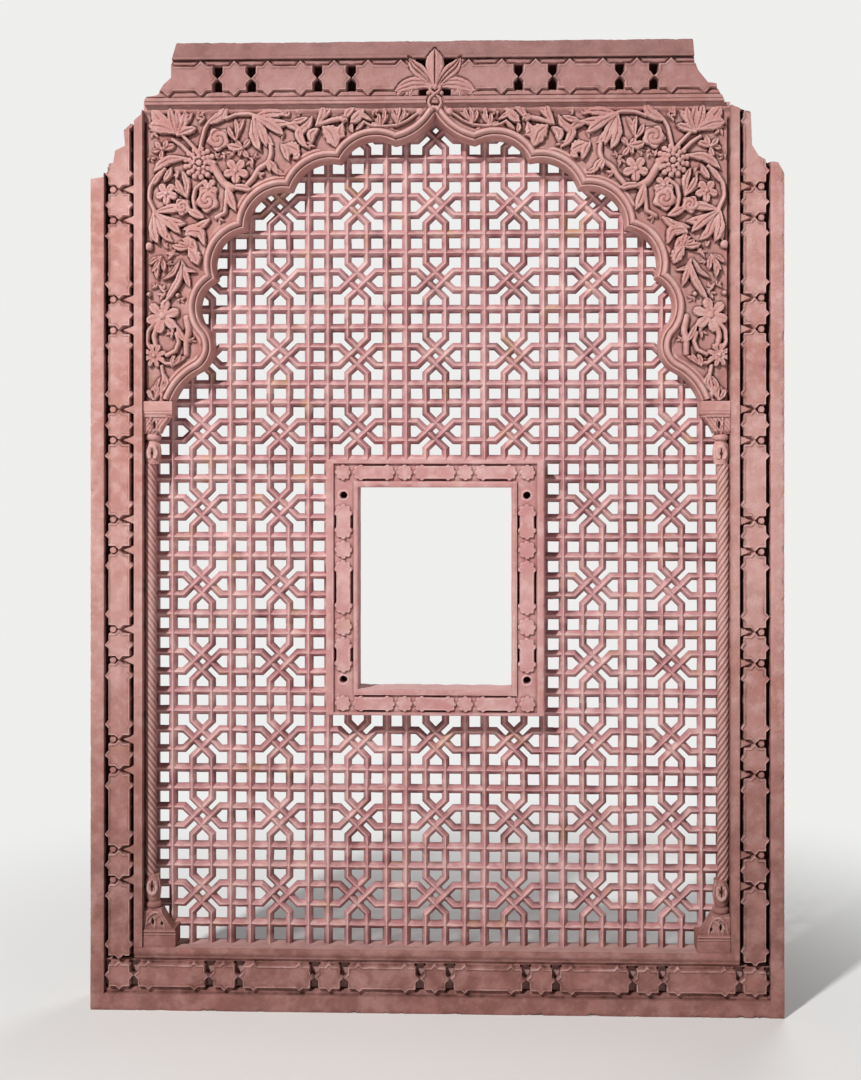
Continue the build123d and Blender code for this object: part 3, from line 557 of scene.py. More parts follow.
def addBar(shapes, corners, dips, width, seed):
    # the section swept along a line; it is widened at corners and cut where no bar is wanted
    line, depth = resample(corners, dips)
    if len(line) < 3:
        return
    middle = (line[1:] + line[:-1]) / 2
    keep = inField(middle[:, 0], middle[:, 1])
    direction = unit(np.diff(line, axis=0))
    after = np.concatenate([direction, direction[-1:]])
    tangent = unit(np.concatenate([direction[:1], direction]) + after)
    across = np.stack([tangent[:, 1], -tangent[:, 0]], -1)
    stretch = 1 / np.clip((tangent * after).sum(1), 0.6, 1)
    x, z = line[:, 0], line[:, 1]
    scale = width / 2 * stretch * (1 + 0.06 * roughNoise(x, z, 26.0, seed))
    place = line + (lattice["uneven"] * roughNoise(x, z, 60.0, seed + 3))[:, None] * across
    front = lattice["front"] + depth + 0.35 * roughNoise(x, z, 21.0, seed + 5)
    path = np.stack([place[:, 0], front, place[:, 1]], -1)
    sideways = np.stack([across[:, 0], 0 * x, across[:, 1]], -1)
    edges = np.flatnonzero(np.diff(np.concatenate([[0], keep.astype(int), [0]])))
    for start, stop in zip(edges[::2], edges[1::2]):
        section = slice(start, stop + 1)
        at = path[section]
        centre = at.mean(0)
        if centre[2] < lattice["windowLow"] + 1:
            target = "bottom"
        elif centre[2] > lattice["windowHigh"] - 1:
            target = "top"
        else:
            target = "left" if centre[0] < 0 else "right"
        reach = barProfile[:, 0][None, :, None] * scale[section][:, None, None]
        points = at[:, None, :] + reach * sideways[section][:, None, :]
        # the back stays in one plane, however far the front dips
        points[:, :, 1] += barProfile[:, 1] * ((lattice["back"] - at[:, 1:2]) / barSection[-1][1])
        stained = lattice["stained"] * roughNoise(x[section], z[section], 24.0, seed + 7)
        # the section's painted shade and painted highlight, with patches of dirt and rubbing along the bar
        shapes[target].addTube(points, barShadeAndHighlight + stained[:, None])


def addStraightBars(shapes):
    # two of every four columns and rows are straight bars; the uprights pass over the level bars
    cuts = (lattice["windowLow"], lattice["windowHigh"])
    for column, x in enumerate(columnLines):
        if column % 4 > 1:
            continue
        corners = [(x, lattice["foot"])] + [(x, z) for z in rowLines[1:]]
        splits = [0, len(corners) - 1]
        splits[1:1] = [k for k, (_, z) in enumerate(corners) if any(abs(z - cut) < 0.1 for cut in cuts)]
        for a, b in zip(splits, splits[1:]):
            addBar(shapes, corners[a:b + 1], [0.0] * (b + 1 - a), lattice["barWidth"], 20 + column)
    for row, z in enumerate(rowLines):
        if row % 4 > 1 or row == 0:
            continue
        corners, dips = [(-lattice["end"], z)], [0.0]
        for x in columnLines[1:]:
            corners += [(x - lattice["cell"] / 2, z), (x, z)]
            dips += [0.0, lattice["weave"]]
        addBar(shapes, corners, dips, lattice["barWidth"], 90 + row)


def addKnot(shapes, row, column):
    # four bars that come in upright, cross the middle as diagonals and leave level
    dip, reach, cell = lattice["weave"], lattice["reach"], lattice["cell"]
    low, high = rowLines[row:row + 2]
    middleX, middleZ = (column - (lattice["columns"] - 1) / 2) * cell, (low + high) / 2
    for sx, sz, overFirst in ((1, 1, True), (-1, 1, False), (1, -1, False), (-1, -1, True)):
        shareX = [-0.5, -0.5, -0.5, 0.0, reach, reach + 0.5, 1.5, 2.0]
        shareZ = [2.0, 1.5, reach + 0.5, reach, 0.0, -0.5, -0.5, -0.5]
        # bars at the edge of the field run on into the jambs and the base rail
        if abs(middleX + sx * 2 * cell) > lattice["edge"]:
            shareX[-1] = 2.5
        if row == 2 and sz < 0:
            shareZ[0] = 2.66
        corners = [(middleX + sx * a * cell, middleZ + sz * b * (high - low)) for a, b in zip(shareX, shareZ)]
        # over at the first diagonal crossing or at the second
        dips = [0.0, 0.0, 0.0, 0.0 if overFirst else dip, dip if overFirst else 0.0, 0.3, dip, 0.0]
        addBar(shapes, corners, dips, lattice["knotWidth"], 150 + row)


def buildLattice():
    # a knot fills each gap that the straight bars leave; each panel is one piece
    shapes = {part: Shape() for part in ("bottom", "left", "right", "top")}
    addStraightBars(shapes)
    for row in range(2, lattice["rows"], 4):
        for column in range(2, lattice["columns"], 4):
            addKnot(shapes, row, column)
    for part, shape in shapes.items():
        makePiece(part + "Lattice", shape, barStone, ["lattice_" + part], sharp=30, merge=0)


buildLattice()
print("lattice built")


class Relief:
    # a grid of heights that leaves, stems and flowers are pressed up out of

    def __init__(self, x, z):
        self.x, self.z = x, z
        self.height = np.zeros(x.shape)
        self.cover = np.zeros(x.shape)

    def window(self, points, margin):
        # rows and columns of the grid that lie near some points
        low, high = np.min(points, axis=0) - margin, np.max(points, axis=0) + margin
        rows = np.flatnonzero((self.z[:, 0] >= low[1]) & (self.z[:, 0] <= high[1]))
        cols = np.flatnonzero((self.x[0] >= low[0]) & (self.x[0] <= high[0]))
        if not len(rows) or not len(cols):
            return None
        return slice(rows[0], rows[-1] + 1), slice(cols[0], cols[-1] + 1)

    def press(self, area, height, inside):
        # the higher one stays; inside goes from 1 to 0 across the outline
        self.height[area] = np.maximum(self.height[area], np.where(inside > 0.02, height * inside, 0))
        self.cover[area] = np.maximum(self.cover[area], inside)

    def leaf(self, points, widths, base, crown, groove, rim, lobes=0, grooveAt=0.0, veins=0.0):
        # nearest place on a smoothed middle line gives length and side; height is a crowned section
        points = np.asarray(points, float)
        dense = np.linspace(0, 1, 44)
        share = np.linspace(0, 1, len(points))
        line = np.stack([np.interp(dense, share, points[:, 0]), np.interp(dense, share, points[:, 1])], -1)
        for _ in range(5):
            line[1:-1] = (line[:-2] + 2 * line[1:-1] + line[2:]) / 4
        half = np.interp(dense, np.linspace(0, 1, len(widths)), widths) / 2
        half[1:-1] = (half[:-2] + 2 * half[1:-1] + half[2:]) / 4
        if lobes:
            half = half * (0.86 + 0.20 * np.abs(np.sin(dense * math.pi * lobes)))
        area = self.window(line, half.max() + 2)
        if area is None:
            return
        gapX = self.x[area][..., None] - line[:, 0]
        gapZ = self.z[area][..., None] - line[:, 1]
        square = gapX * gapX + gapZ * gapZ
        near = square.argmin(-1)
        distance = np.sqrt(np.take_along_axis(square, near[..., None], -1)[..., 0])
        width = np.maximum(half[near], 0.2)
        ratio = distance / width
        along = dense[near]
        fade = np.sin(np.clip(along * 1.02, 0, 1) * math.pi) ** 0.4
        height = base + crown * (1 - np.clip(ratio, 0, 1) ** 2.4)
        height = height - groove * np.exp(-((distance - grooveAt * width) / 1.35) ** 2) * fade
        height = height + rim * np.exp(-((ratio - 0.82) / 0.16) ** 2) * fade
        # side veins on broad leaves, 6.5 mm apart, running forwards to the edge
        length = np.linalg.norm(np.diff(line, axis=0), axis=1).sum()
        vein = (1 - np.abs(np.sin((along * length - 0.8 * distance) * math.pi / 6.5))) ** 3
        height = height - veins * vein * fade * ease(width, 4.5, 7.0) * ease(ratio, 0.15, 0.4)
        self.press(area, height, ease(width + 0.3 - distance, -0.3, 1.1))

    def fan(self, root, width, tips, base):
        # one bowed leaf from the root to each tip
        root = np.asarray(root, float)
        ends = np.asarray(tips, float)
        for number, tip in enumerate(ends):
            reach = tip - root
            bow = np.array([-reach[1], reach[0]]) * (0.10 if number % 2 else -0.06)
            middle = root + reach * 0.5 + bow
            broad = min(width, 0.55 * np.linalg.norm(reach))
            self.leaf([root, root + reach * 0.25 + bow * 0.6, middle, root + reach * 0.8 + bow * 0.6, tip],
                      [broad * 0.28, broad * 0.62, broad, broad * 0.8, 0.6],
                      base + 2.2 * (number % 3), crown=4.2, groove=4.6, rim=1.8, veins=1.6)

    def polar(self, centre, radius):
        # the part of the grid round a centre, with distances and angles from it
        area = self.window([centre], radius + 2)
        gapX, gapZ = self.x[area] - centre[0], self.z[area] - centre[1]
        return area, np.hypot(gapX, gapZ), np.arctan2(gapZ, gapX)

    def flower(self, centre, radius, petals, base):
        # petals that follow a wave round the middle, each with a groove, and a bud
        area, distance, angle = self.polar(centre, radius)
        angle = angle + 0.3
        wave = np.abs(np.cos(angle * petals / 2))
        edge = radius * (0.42 + 0.58 * wave ** 0.7)
        ratio = distance / edge
        across = np.sin(angle * petals / 2)
        height = base + 2.5 * ratio + 2.2 * (1 - np.clip(ratio, 0, 1) ** 5)
        height = height - 2.6 * np.exp(-(across * distance / 1.3) ** 2)
        self.press(area, height, ease(edge - distance, -0.4, 1.2))
        self.dome(centre, radius * 0.20, base + 3.0, 4.0)

    def dome(self, centre, radius, base, rise):
        # half a ball
        area = self.window([centre], radius + 2)
        if area is None:
            return
        distance = np.hypot(self.x[area] - centre[0], self.z[area] - centre[1])
        height = base + rise * np.sqrt(np.clip(1 - (distance / radius) ** 2, 0, 1))
        self.press(area, height, ease(radius - distance, -0.3, 0.9))

    def rosette(self, centre, radius, base):
        # rings of scale petals that rise to the middle
        rings = ((0.86, 13, 0.17, 0.0), (0.62, 11, 0.16, 2.0), (0.38, 8, 0.15, 4.0), (0.0, 1, 0.19, 6.0))
        for share, count, size, rise in rings:
            for k in range(count):
                angle = 2 * math.pi * (k + 0.5 * (count % 2)) / count
                out = radius * share
                place = (centre[0] + out * math.cos(angle), centre[1] + out * math.sin(angle))
                self.dome(place, radius * size * 1.12, base + rise, 3.6)

    def rose(self, centre, radius, base):
        # petals that wrap round each other in a spiral
        area, distance, angle = self.polar(centre, radius)
        edge = radius * (0.9 + 0.1 * np.cos(5 * angle + 1))
        swirl = np.abs(np.sin(distance / radius * 7.0 - angle))
        height = base + 3.5 * np.sqrt(np.clip(1 - (distance / edge) ** 2, 0, 1)) + 1.8 * swirl ** 0.6
        height = height - 3.2 * np.exp(-(swirl / 0.22) ** 2)
        self.press(area, height, ease(edge - distance, -0.4, 1.2))


def cutOut(name, x, z, y, keep, hollow, closeAt, replaces=()):
    # only the kept cells of a grid, with sides down to one depth; makePiece fills the back
    keep = keep[:-1, :-1] & keep[1:, :-1] & keep[:-1, 1:] & keep[1:, 1:]
    used, quads = np.unique(gridFaces(*y.shape)[keep.ravel()], return_inverse=True)
    quads, count = quads.reshape(-1, 4), len(used)
    points, hollow = np.stack([x, y, z], -1).reshape(-1, 3)[used], hollow.ravel()[used]
    # the rim is every edge of a kept cell that no second cell has
    starts, ends = quads.ravel(), np.roll(quads, -1, axis=1).ravel()
    alone = ~np.isin(starts * count + ends, ends * count + starts)
    starts, ends = starts[alone], ends[alone]
    rim, numbers = np.unique(np.concatenate([starts, ends]), return_inverse=True)
    below = count + numbers.reshape(2, -1)
    sides = np.stack([ends, starts, below[0], below[1]], -1)
    shape = Shape()
    shape.add(np.concatenate([points, np.where([False, True, False], closeAt, points[rim])]),
              np.concatenate([quads, sides]), (), np.concatenate([hollow, hollow[rim]]))
    makePiece(name, shape, carvedStone, replaces, sharp=60, merge=0)


finial = {
    # lines (x, z) and widths from root to tip
    "middle": ([(0, 1856), (0, 1876), (0, 1896), (0, 1916), (0, 1934)],
               [9, 12, 16, 24, 33, 38, 38, 32, 20, 2]),
    "raised": ([(6, 1858), (15, 1874), (28, 1888), (41, 1899), (52, 1917)],
               [9, 13, 18, 23, 26, 27, 24, 15, 2]),
    "drooping": ([(9, 1859), (24, 1865), (44, 1866), (62, 1860), (80, 1850)],
                 [8, 14, 21, 26, 27, 24, 17, 4]),
    "lobes": [([(40, 1866), (48, 1855), (50, 1844)], [8, 13, 3]),
              ([(60, 1862), (70, 1853), (73, 1842)], [8, 15, 3])],
    "bead": ((1.0, 1859.0), 5.6),
    "strands": ([(11, 1858), (9, 1850), (-1, 1843), (-11, 1835), (-13, 1825), (-6, 1813)], 7.5),
    "curls": ((13.0, 1846.0), 5.0),
    # depth of the floor and of the highest petal, width of the pocket, and the grid's half width and ends
    "ground": -26.0, "front": -54.9, "pocket": 1.4, "half": 88.0, "ends": (1809.0, 1937.0),
}


def drawFinial(relief, grow=0.0):
    # a middle leaf and two pairs of petals; grow widens them for the pocket that they sit in
    def petal(line, widths, side, base, **look):
        relief.leaf([(side * x, z) for x, z in line], [width + grow for width in widths], base, **look)

    for side in (-1, 1):
        petal(*finial["drooping"], side, 19.5, crown=5.0, groove=3.5, rim=1.6, grooveAt=0.35)
        for lobe in finial["lobes"]:
            petal(*lobe, side, 19.0, crown=4.0, groove=3.0, rim=1.0)
        petal(*finial["raised"], side, 21.5, crown=5.0, groove=8.5, rim=2.0, grooveAt=0.30)
        line, width = finial["strands"]
        petal(line, [width] * 5, side, 20.0 + 1.6 * side, crown=6.0, groove=0.0, rim=0.0)
        (x, z), radius = finial["curls"]
        relief.dome((side * x, z), radius + grow / 2, 20.0, 5.0)
    petal(*finial["middle"], 1, 22.4, crown=6.0, groove=11.0, rim=2.2)
    place, radius = finial["bead"]
    relief.dome(place, radius + grow / 2, 22.0, 6.0)


def boxDistance(a, b, halfA, halfB):
    # the larger of the distances past the sides: negative inside
    return np.maximum(np.abs(a) - halfA, np.abs(b) - halfB)


def rhombDistance(a, b, reachA, reachB):
    # a point lies on the edge where its shares of the two reaches add up to 1
    return (np.abs(a) / reachA + np.abs(b) / reachB - 1) * reachA * reachB / math.hypot(reachA, reachB)


def starDistance(a, b, row):
    # a square and a rhomb over it give the eight points of a star
    square = boxDistance(a, b, row["half"], row["half"])
    return np.minimum(square, rhombDistance(a, b, row["run"] + 1, row["reach"]))


def tabletDistance(along, across, row, cartouches):
    # least distance to the outlines of all tablets: negative inside one
    least = np.full(np.shape(along), 99.0)
    for middle in row["stars"]:
        least = np.minimum(least, starDistance(along - middle, across, row))
    for start, end in cartouches:
        body = boxDistance(along - (start + end) / 2, across, (end - start) / 2 - row["run"], row["half"])
        for tip in (start + row["run"], end - row["run"]):
            body = np.minimum(body, starDistance(along - tip, across, row))
        least = np.minimum(least, body)
    return least


def joinDistance(along, row, stars):
    # distance to the nearest place where a star and a cartouche meet
    places = [star + end for star in stars for end in (-row["run"], row["run"])]
    return np.min([np.abs(along - place) for place in places], axis=0)


def tabletFace(distance, face, ground, bead, beadAt=(1.0, 4.2), slope=1.6):
    # a plateau with steep sides, a thin raised bead along its edge and a slightly sunk field
    inside = ease(-distance, -0.4, slope)
    low, high = beadAt
    rim = ease(-distance, low - 0.8, low + 0.4) * (1 - ease(-distance, high - 0.6, high + 0.8))
    return ground + (face - ground) * inside - bead * rim


def rimTint(distance):
    # a pale band along a tablet's rim and the thin brown line inside it
    pale = 0.34 * ease(1.7 - np.abs(distance + 5.4), 0, 1.3)
    return pale - 0.42 * ease(2.0 - np.abs(distance + 2.0), 0, 1.5)


def mottle(x, z, seed):
    # dirty and rubbed patches a centimetre or two wide
    patch = roughNoise(x, z, 18.0, seed)
    return 0.22 * ease(patch, 0.0, 0.6) - 0.19 * ease(-patch, 0.0, 0.7)


def wear(x, z, seed, size=1.0):
    # slow waves and fine dressing marks left by the tools
    return size * (0.55 * roughNoise(x, z, 70.0, seed) + 0.30 * roughNoise(x, z, 11.0, seed + 7, 2))


def chipped(x, z, edge, seed, depth=5.0):
    # stone lost near an edge, only where the noise is high
    near = 1 - ease(edge, 0.0, 7.0)
    return depth * near * ease(roughNoise(x, z, 16.0, seed), 0.15, 0.75)


# the broken upper corners: (loss of half width, distance below the top) from the lowest step up
brokenSteps = {
    -1: ((0, 273), (26, 270), (28, 244), (45, 241), (49, 216), (69, 206), (67, 175), (102, 144),
         (112, 107), (134, 105), (148, 83), (163, 70), (163, 40), (175, 0)),
    1: ((0, 270), (12, 248), (33, 244), (50, 234), (63, 213), (66, 147), (97, 136), (116, 127),
        (129, 103), (131, 89), (150, 88), (170, 63), (177, 45), (181, 0)),
}


def shoulderHalf(z, side):
    # half width of the screen at a height, where its upper corners are broken away in steps
    steps = np.array(brokenSteps[side])[::-1]
    return screen["halfWidth"] - np.interp(screen["top"] - z, steps[:, 1], steps[:, 0])


def lines(*runs):
    # grid lines from (start, stop, spacing) runs
    parts = [np.linspace(a, b, max(2, int(round((b - a) / step)) + 1)) for a, b, step in runs]
    return np.unique(np.round(np.concatenate(parts), 3))


border = {
    "face": -51.5, "waver": 0.8,
    # stars: their middles along the member; half: half the height of a tablet; run and reach: how far
    # a star's points go along and across; ground and join: depths of the floor and of the slots at a join
    "stile": {"stars": [292 + 222 * k for k in range(7)], "pitch": 222, "half": 23.0, "run": 31.0,
              "reach": 31.0, "ground": -26.0, "join": -42.0, "boss": -49.5},
    "base": {"stars": [212.5 * k for k in range(-3, 4)], "pitch": 212.5, "half": 23.0, "run": 30.0,
             "reach": 30.5, "middle": 69.5, "ground": -45.0, "join": -22.0},
    "head": {"stars": [202.0 * k for k in (-3, -2, -1, 1, 2, 3)], "pitch": 202.0, "half": 25.0, "run": 34.0,
             "reach": 37.5, "middle": 1877.0, "ground": -44.5, "join": -22.0, "pocket": -45.5},
}


def buildStile(side):
    # outer border, tablet band and inner fillet, and a flat strip behind the column
    row = border["stile"]
    across = lines((576.0, 589.3, 4.5), (589.9, 606.6, 2.8), (607.4, 667.2, 1.5), (668.0, 689.0, 4.2),
                   (689.0, 694.9, 1.5))
    x, z = np.meshgrid(across, lines((screen["stileFoot"], screen["headBottom"], 1.75)))
    # the grid is drawn in to the broken shoulder, the foot and the inner edge before the relief is made
    limit = shoulderHalf(z, side) - 0.8 * np.abs(roughNoise(x * 0, z, 9.0, 47))
    x = np.minimum(x, np.maximum(limit, 576.2))
    x = np.where((x < 576.1) & (z > screen["spring"] - 0.5), screen["jambIn"], x)
    z = np.maximum(z, np.where(x < screen["bandIn"], screen["baseTop"], screen["stileFoot"]))
    middle = (screen["bandIn"] + screen["bandOut"]) / 2
    starts = [row["stars"][0] + row["pitch"] * k for k in range(-1, 7)]
    cartouches = [(start + row["run"], start + row["pitch"] - row["run"]) for start in starts]
    distance = tabletDistance(z, x - middle, row, cartouches)
    distance = distance + border["waver"] * roughNoise(x + side * 900, z, 14.0, 31)
    # deep slots all round, with a wedge from the inner fillet and a small boss where two tablets meet
    depth = row["ground"] + 1.5 * roughNoise(x, z * side, 30.0, 33)
    joins = joinDistance(z, row, starts[1:] + [starts[-1] + row["pitch"]])
    meeting = (1 - ease(joins, 9.0, 12.5)) * (1 - ease(np.abs(x - middle), 19.0, 23.0))
    depth = depth + (row["join"] - depth) * meeting
    fromBoss = np.hypot(joins, x - middle - 13.0)
    wedge = ease(0.46 * (middle - x - 5.5) - joins, 0.0, 1.6)
    depth = depth + (row["boss"] - depth) * np.maximum(wedge, ease(7.6 - fromBoss, 0.0, 1.6))
    band = (x > screen["bandIn"]) & (x < screen["bandOut"])
    y = tabletFace(distance, border["face"], depth, bead=2.2, beadAt=(0.9, 3.6))
    y = np.where(band, y, screen["front"])
    # a thin line cut along the inner fillet, and both arrises rounded
    fillet = (x >= 589.8) & (x <= 606.8)
    y = np.where(fillet, y + 1.1 * ease(2.4 - np.abs(x - screen["filletIn"] - 4.5), 0, 2.0), y)
    outer = x >= screen["bandOut"]
    y = np.where(outer, y + 1.2 * ease(x, 690.5, 694.9) + 0.8 * ease(670.5 - x, 0, 2.5), y)
    edge = np.minimum(np.abs(x - screen["halfWidth"]), 9)
    y = np.where(outer | fillet, y + chipped(x, z * side, edge, 41, 4.0), y)
    y = np.maximum(y + wear(x * side, z, 43, 0.9), screen["front"])
    # inside the fillet the stone steps back to the lattice and the columns
    y = np.where(x < 589.5, screen["wall"] - 1, y)
    ring = 0.22 * ease(1.3 - np.abs(fromBoss - 4.6), 0, 1.0)
    tint = band * (rimTint(distance) + ring * (distance > 1.0)) + mottle(x * side, z, 81)
    shape = Shape()
    reliefStone(shape, side * x, z, y, screen["back"], hollowScale=10.0, dark=(-46.0, -36.0), tint=tint)
    name = sideNames[side]
    makePiece(name + "Stile", shape, borderStone, [name + "_stile"])


def buildBaseRail():
    # plain foot, tablet band and a bevelled fillet
    row, middle = border["base"], border["base"]["middle"]
    across = lines((-694.9, -668.0, 3.4), (-667.8, 667.8, 1.75), (668.0, 694.9, 3.4))
    x, z = np.meshgrid(across, lines((0.0, 33.6, 3.4), (34.2, 104.8, 1.6), (105.2, 127.0, 2.2)))
    z = np.minimum(z, np.where(np.abs(x) < screen["bandIn"], screen["baseTop"], screen["stileFoot"]))
    cartouches = [(star + row["run"], star + row["pitch"] - row["run"]) for star in row["stars"][:-1]]
    distance = tabletDistance(x, z - middle, row, cartouches)
    distance = distance + border["waver"] * roughNoise(x, z, 14.0, 51)
    # a pit above and below every join
    joins = joinDistance(x, row, row["stars"])
    deep = (1 - ease(joins, 8.5, 12.0)) * (1 - ease(np.abs(z - middle), 24.0, 29.0))
    ground = row["ground"] + 2.0 * (1 - ease(middle - z, 0, 10)) + 1.6 * roughNoise(x, z, 26.0, 53)
    ground = ground + deep * (row["join"] - ground)
    band = (z > 34.0) & (z < 105.0) & (np.abs(x) < screen["bandOut"])
    y = np.where(band, tabletFace(distance, border["face"], ground, bead=1.7), screen["front"])
    # base fillet: bright upper edge, then a bevel that leans back to the band
    y = np.where((z >= 105.0) & (np.abs(x) < screen["bandIn"]), y + 6.5 * ease(z, 118.0, 106.0), y)
    y = np.where(z > 121, y + 1.5 * ease(z, 123.5, screen["baseTop"]), y)
    y = np.where(band, y, y + chipped(x, z, np.minimum(z, 9), 57, 6.0) + 2.0 * ease(5.0 - z, 0, 5))
    y = np.maximum(y + wear(x, z, 59, 1.1), screen["front"])
    shape = Shape()
    reliefStone(shape, x, z, y, -29.5, hollowScale=10.0, dark=(-41.0, -31.0),
                tint=band * rimTint(distance) + mottle(x, z, 83), sides=screen["plainSide"])
    # behind the front the rail steps down under the lattice, and is full height under the stiles
    stepped = [(-30.0, 0.0), (-30.0, 118.0), (27.5, 118.0), (27.5, 110.0), (55.0, 110.0), (55.0, 0.0)]
    prism(shape, -546.9, 546.9, stepped)
    for side in (-1, 1):
        for start, stop, top in ((547.0, 606.85, 127.0), (606.95, 694.9, 99.9)):
            prism(shape, side * start, side * stop, [(-30.0, 0.0), (-30.0, top), (55.0, top), (55.0, 0.0)])
    makePiece("baseRail", shape, borderStone, ["base_rail"])


def buildHeadRail():
    # tablet band with the pocket of the finial, under a plain top moulding
    row, middle = border["head"], border["head"]["middle"]
    x, z = np.meshgrid(lines((-588.6, 588.6, 1.8)),
                       lines((1825.5, 1838.2, 1.3), (1838.7, 1915.3, 1.7), (1915.8, 1949.5, 2.4)))
    x = np.clip(x, -shoulderHalf(z, -1), shoulderHalf(z, 1))
    rise = 1.4 * roughNoise(x, z * 0, 60.0, 71) + 0.8 * roughNoise(x, z * 0, 9.0, 73)
    z = np.minimum(z, screen["top"] - 1.2 + np.minimum(rise, 1.2))
    starts = [row["pitch"] * k for k in range(-3, 3)]
    cartouches = [(start + row["run"], start + row["pitch"] - row["run"]) for start in starts]
    distance = tabletDistance(x, z - middle, row, cartouches)
    distance = distance + border["waver"] * roughNoise(x, z, 14.0, 61)
    # a pit on each side of every join, and shallow pale panels above and below the tablets
    joins = joinDistance(x, row, row["stars"])
    deep = (1 - ease(joins, 6.5, 9.5)) * (1 - ease(np.abs(z - middle), 22.5, 27.5))
    panel = ease(distance, 2.2, 4.2) * ease(38.2 - np.abs(z - middle), 0.5, 2.5)
    ground = row["ground"] - 4.0 * panel + 1.4 * roughNoise(x, z, 26.0, 63)
    ground = ground + deep * (row["join"] - ground)
    band = (z > 1838.5) & (z < 1915.5)
    y = np.where(band, tabletFace(distance, border["face"], ground, bead=1.3), screen["front"])
    # a pocket round the finial
    pocket = Relief(x, z)
    drawFinial(pocket, 2 * finial["pocket"])
    rim = ease(pocket.cover, 0.15, 0.6)
    y = y + (row["pocket"] - y) * rim
    # the hollows between the petals and under the drooping ones
    above = ease(40.0 - np.abs(x), 0, 3) * ease(z, 1886.0, 1889.0)
    below = ease(33.0 - np.abs(x), 0, 3) * ease(1858.0 - z, 0, 3)
    gaps = np.clip(band * (above + below), 0, 1)
    y = y + (finial["ground"] - y) * gaps
    y = np.where(z < 1838.5, y + 2.2 * ease(1832.0 - z, 0.0, 1.2), y)
    # a shallow line under the top moulding and a worn top edge
    y = np.where(z > 1915.5, y + 0.9 * ease(2.0 - np.abs(z - 1921), 0, 1.6), y)
    edge = np.minimum(screen["top"] - z, 9)
    y = np.where(band, y, y + chipped(x, z, edge, 67, 6.0) + 2.2 * ease(z, 1944.5, screen["top"]))
    y = np.maximum(y + wear(x, z, 69, 1.1), screen["front"])
    patches = mottle(x, z, 85)
    tint = band * rimTint(distance) * (1 - rim) - 0.55 * rim * (1 - gaps)
    tint = tint + np.where(z > 1915.5, 0.29 + 0.4 * patches, patches)
    shape = Shape()
    reliefStone(shape, x, z, y, screen["back"], hollowScale=11.0, dark=(-41.0, -30.0), tint=tint)
    makePiece("headRail", shape, borderStone, ["head_rail"])


for side in (-1, 1):
    buildStile(side)
buildBaseRail()
buildHeadRail()
print("border built")


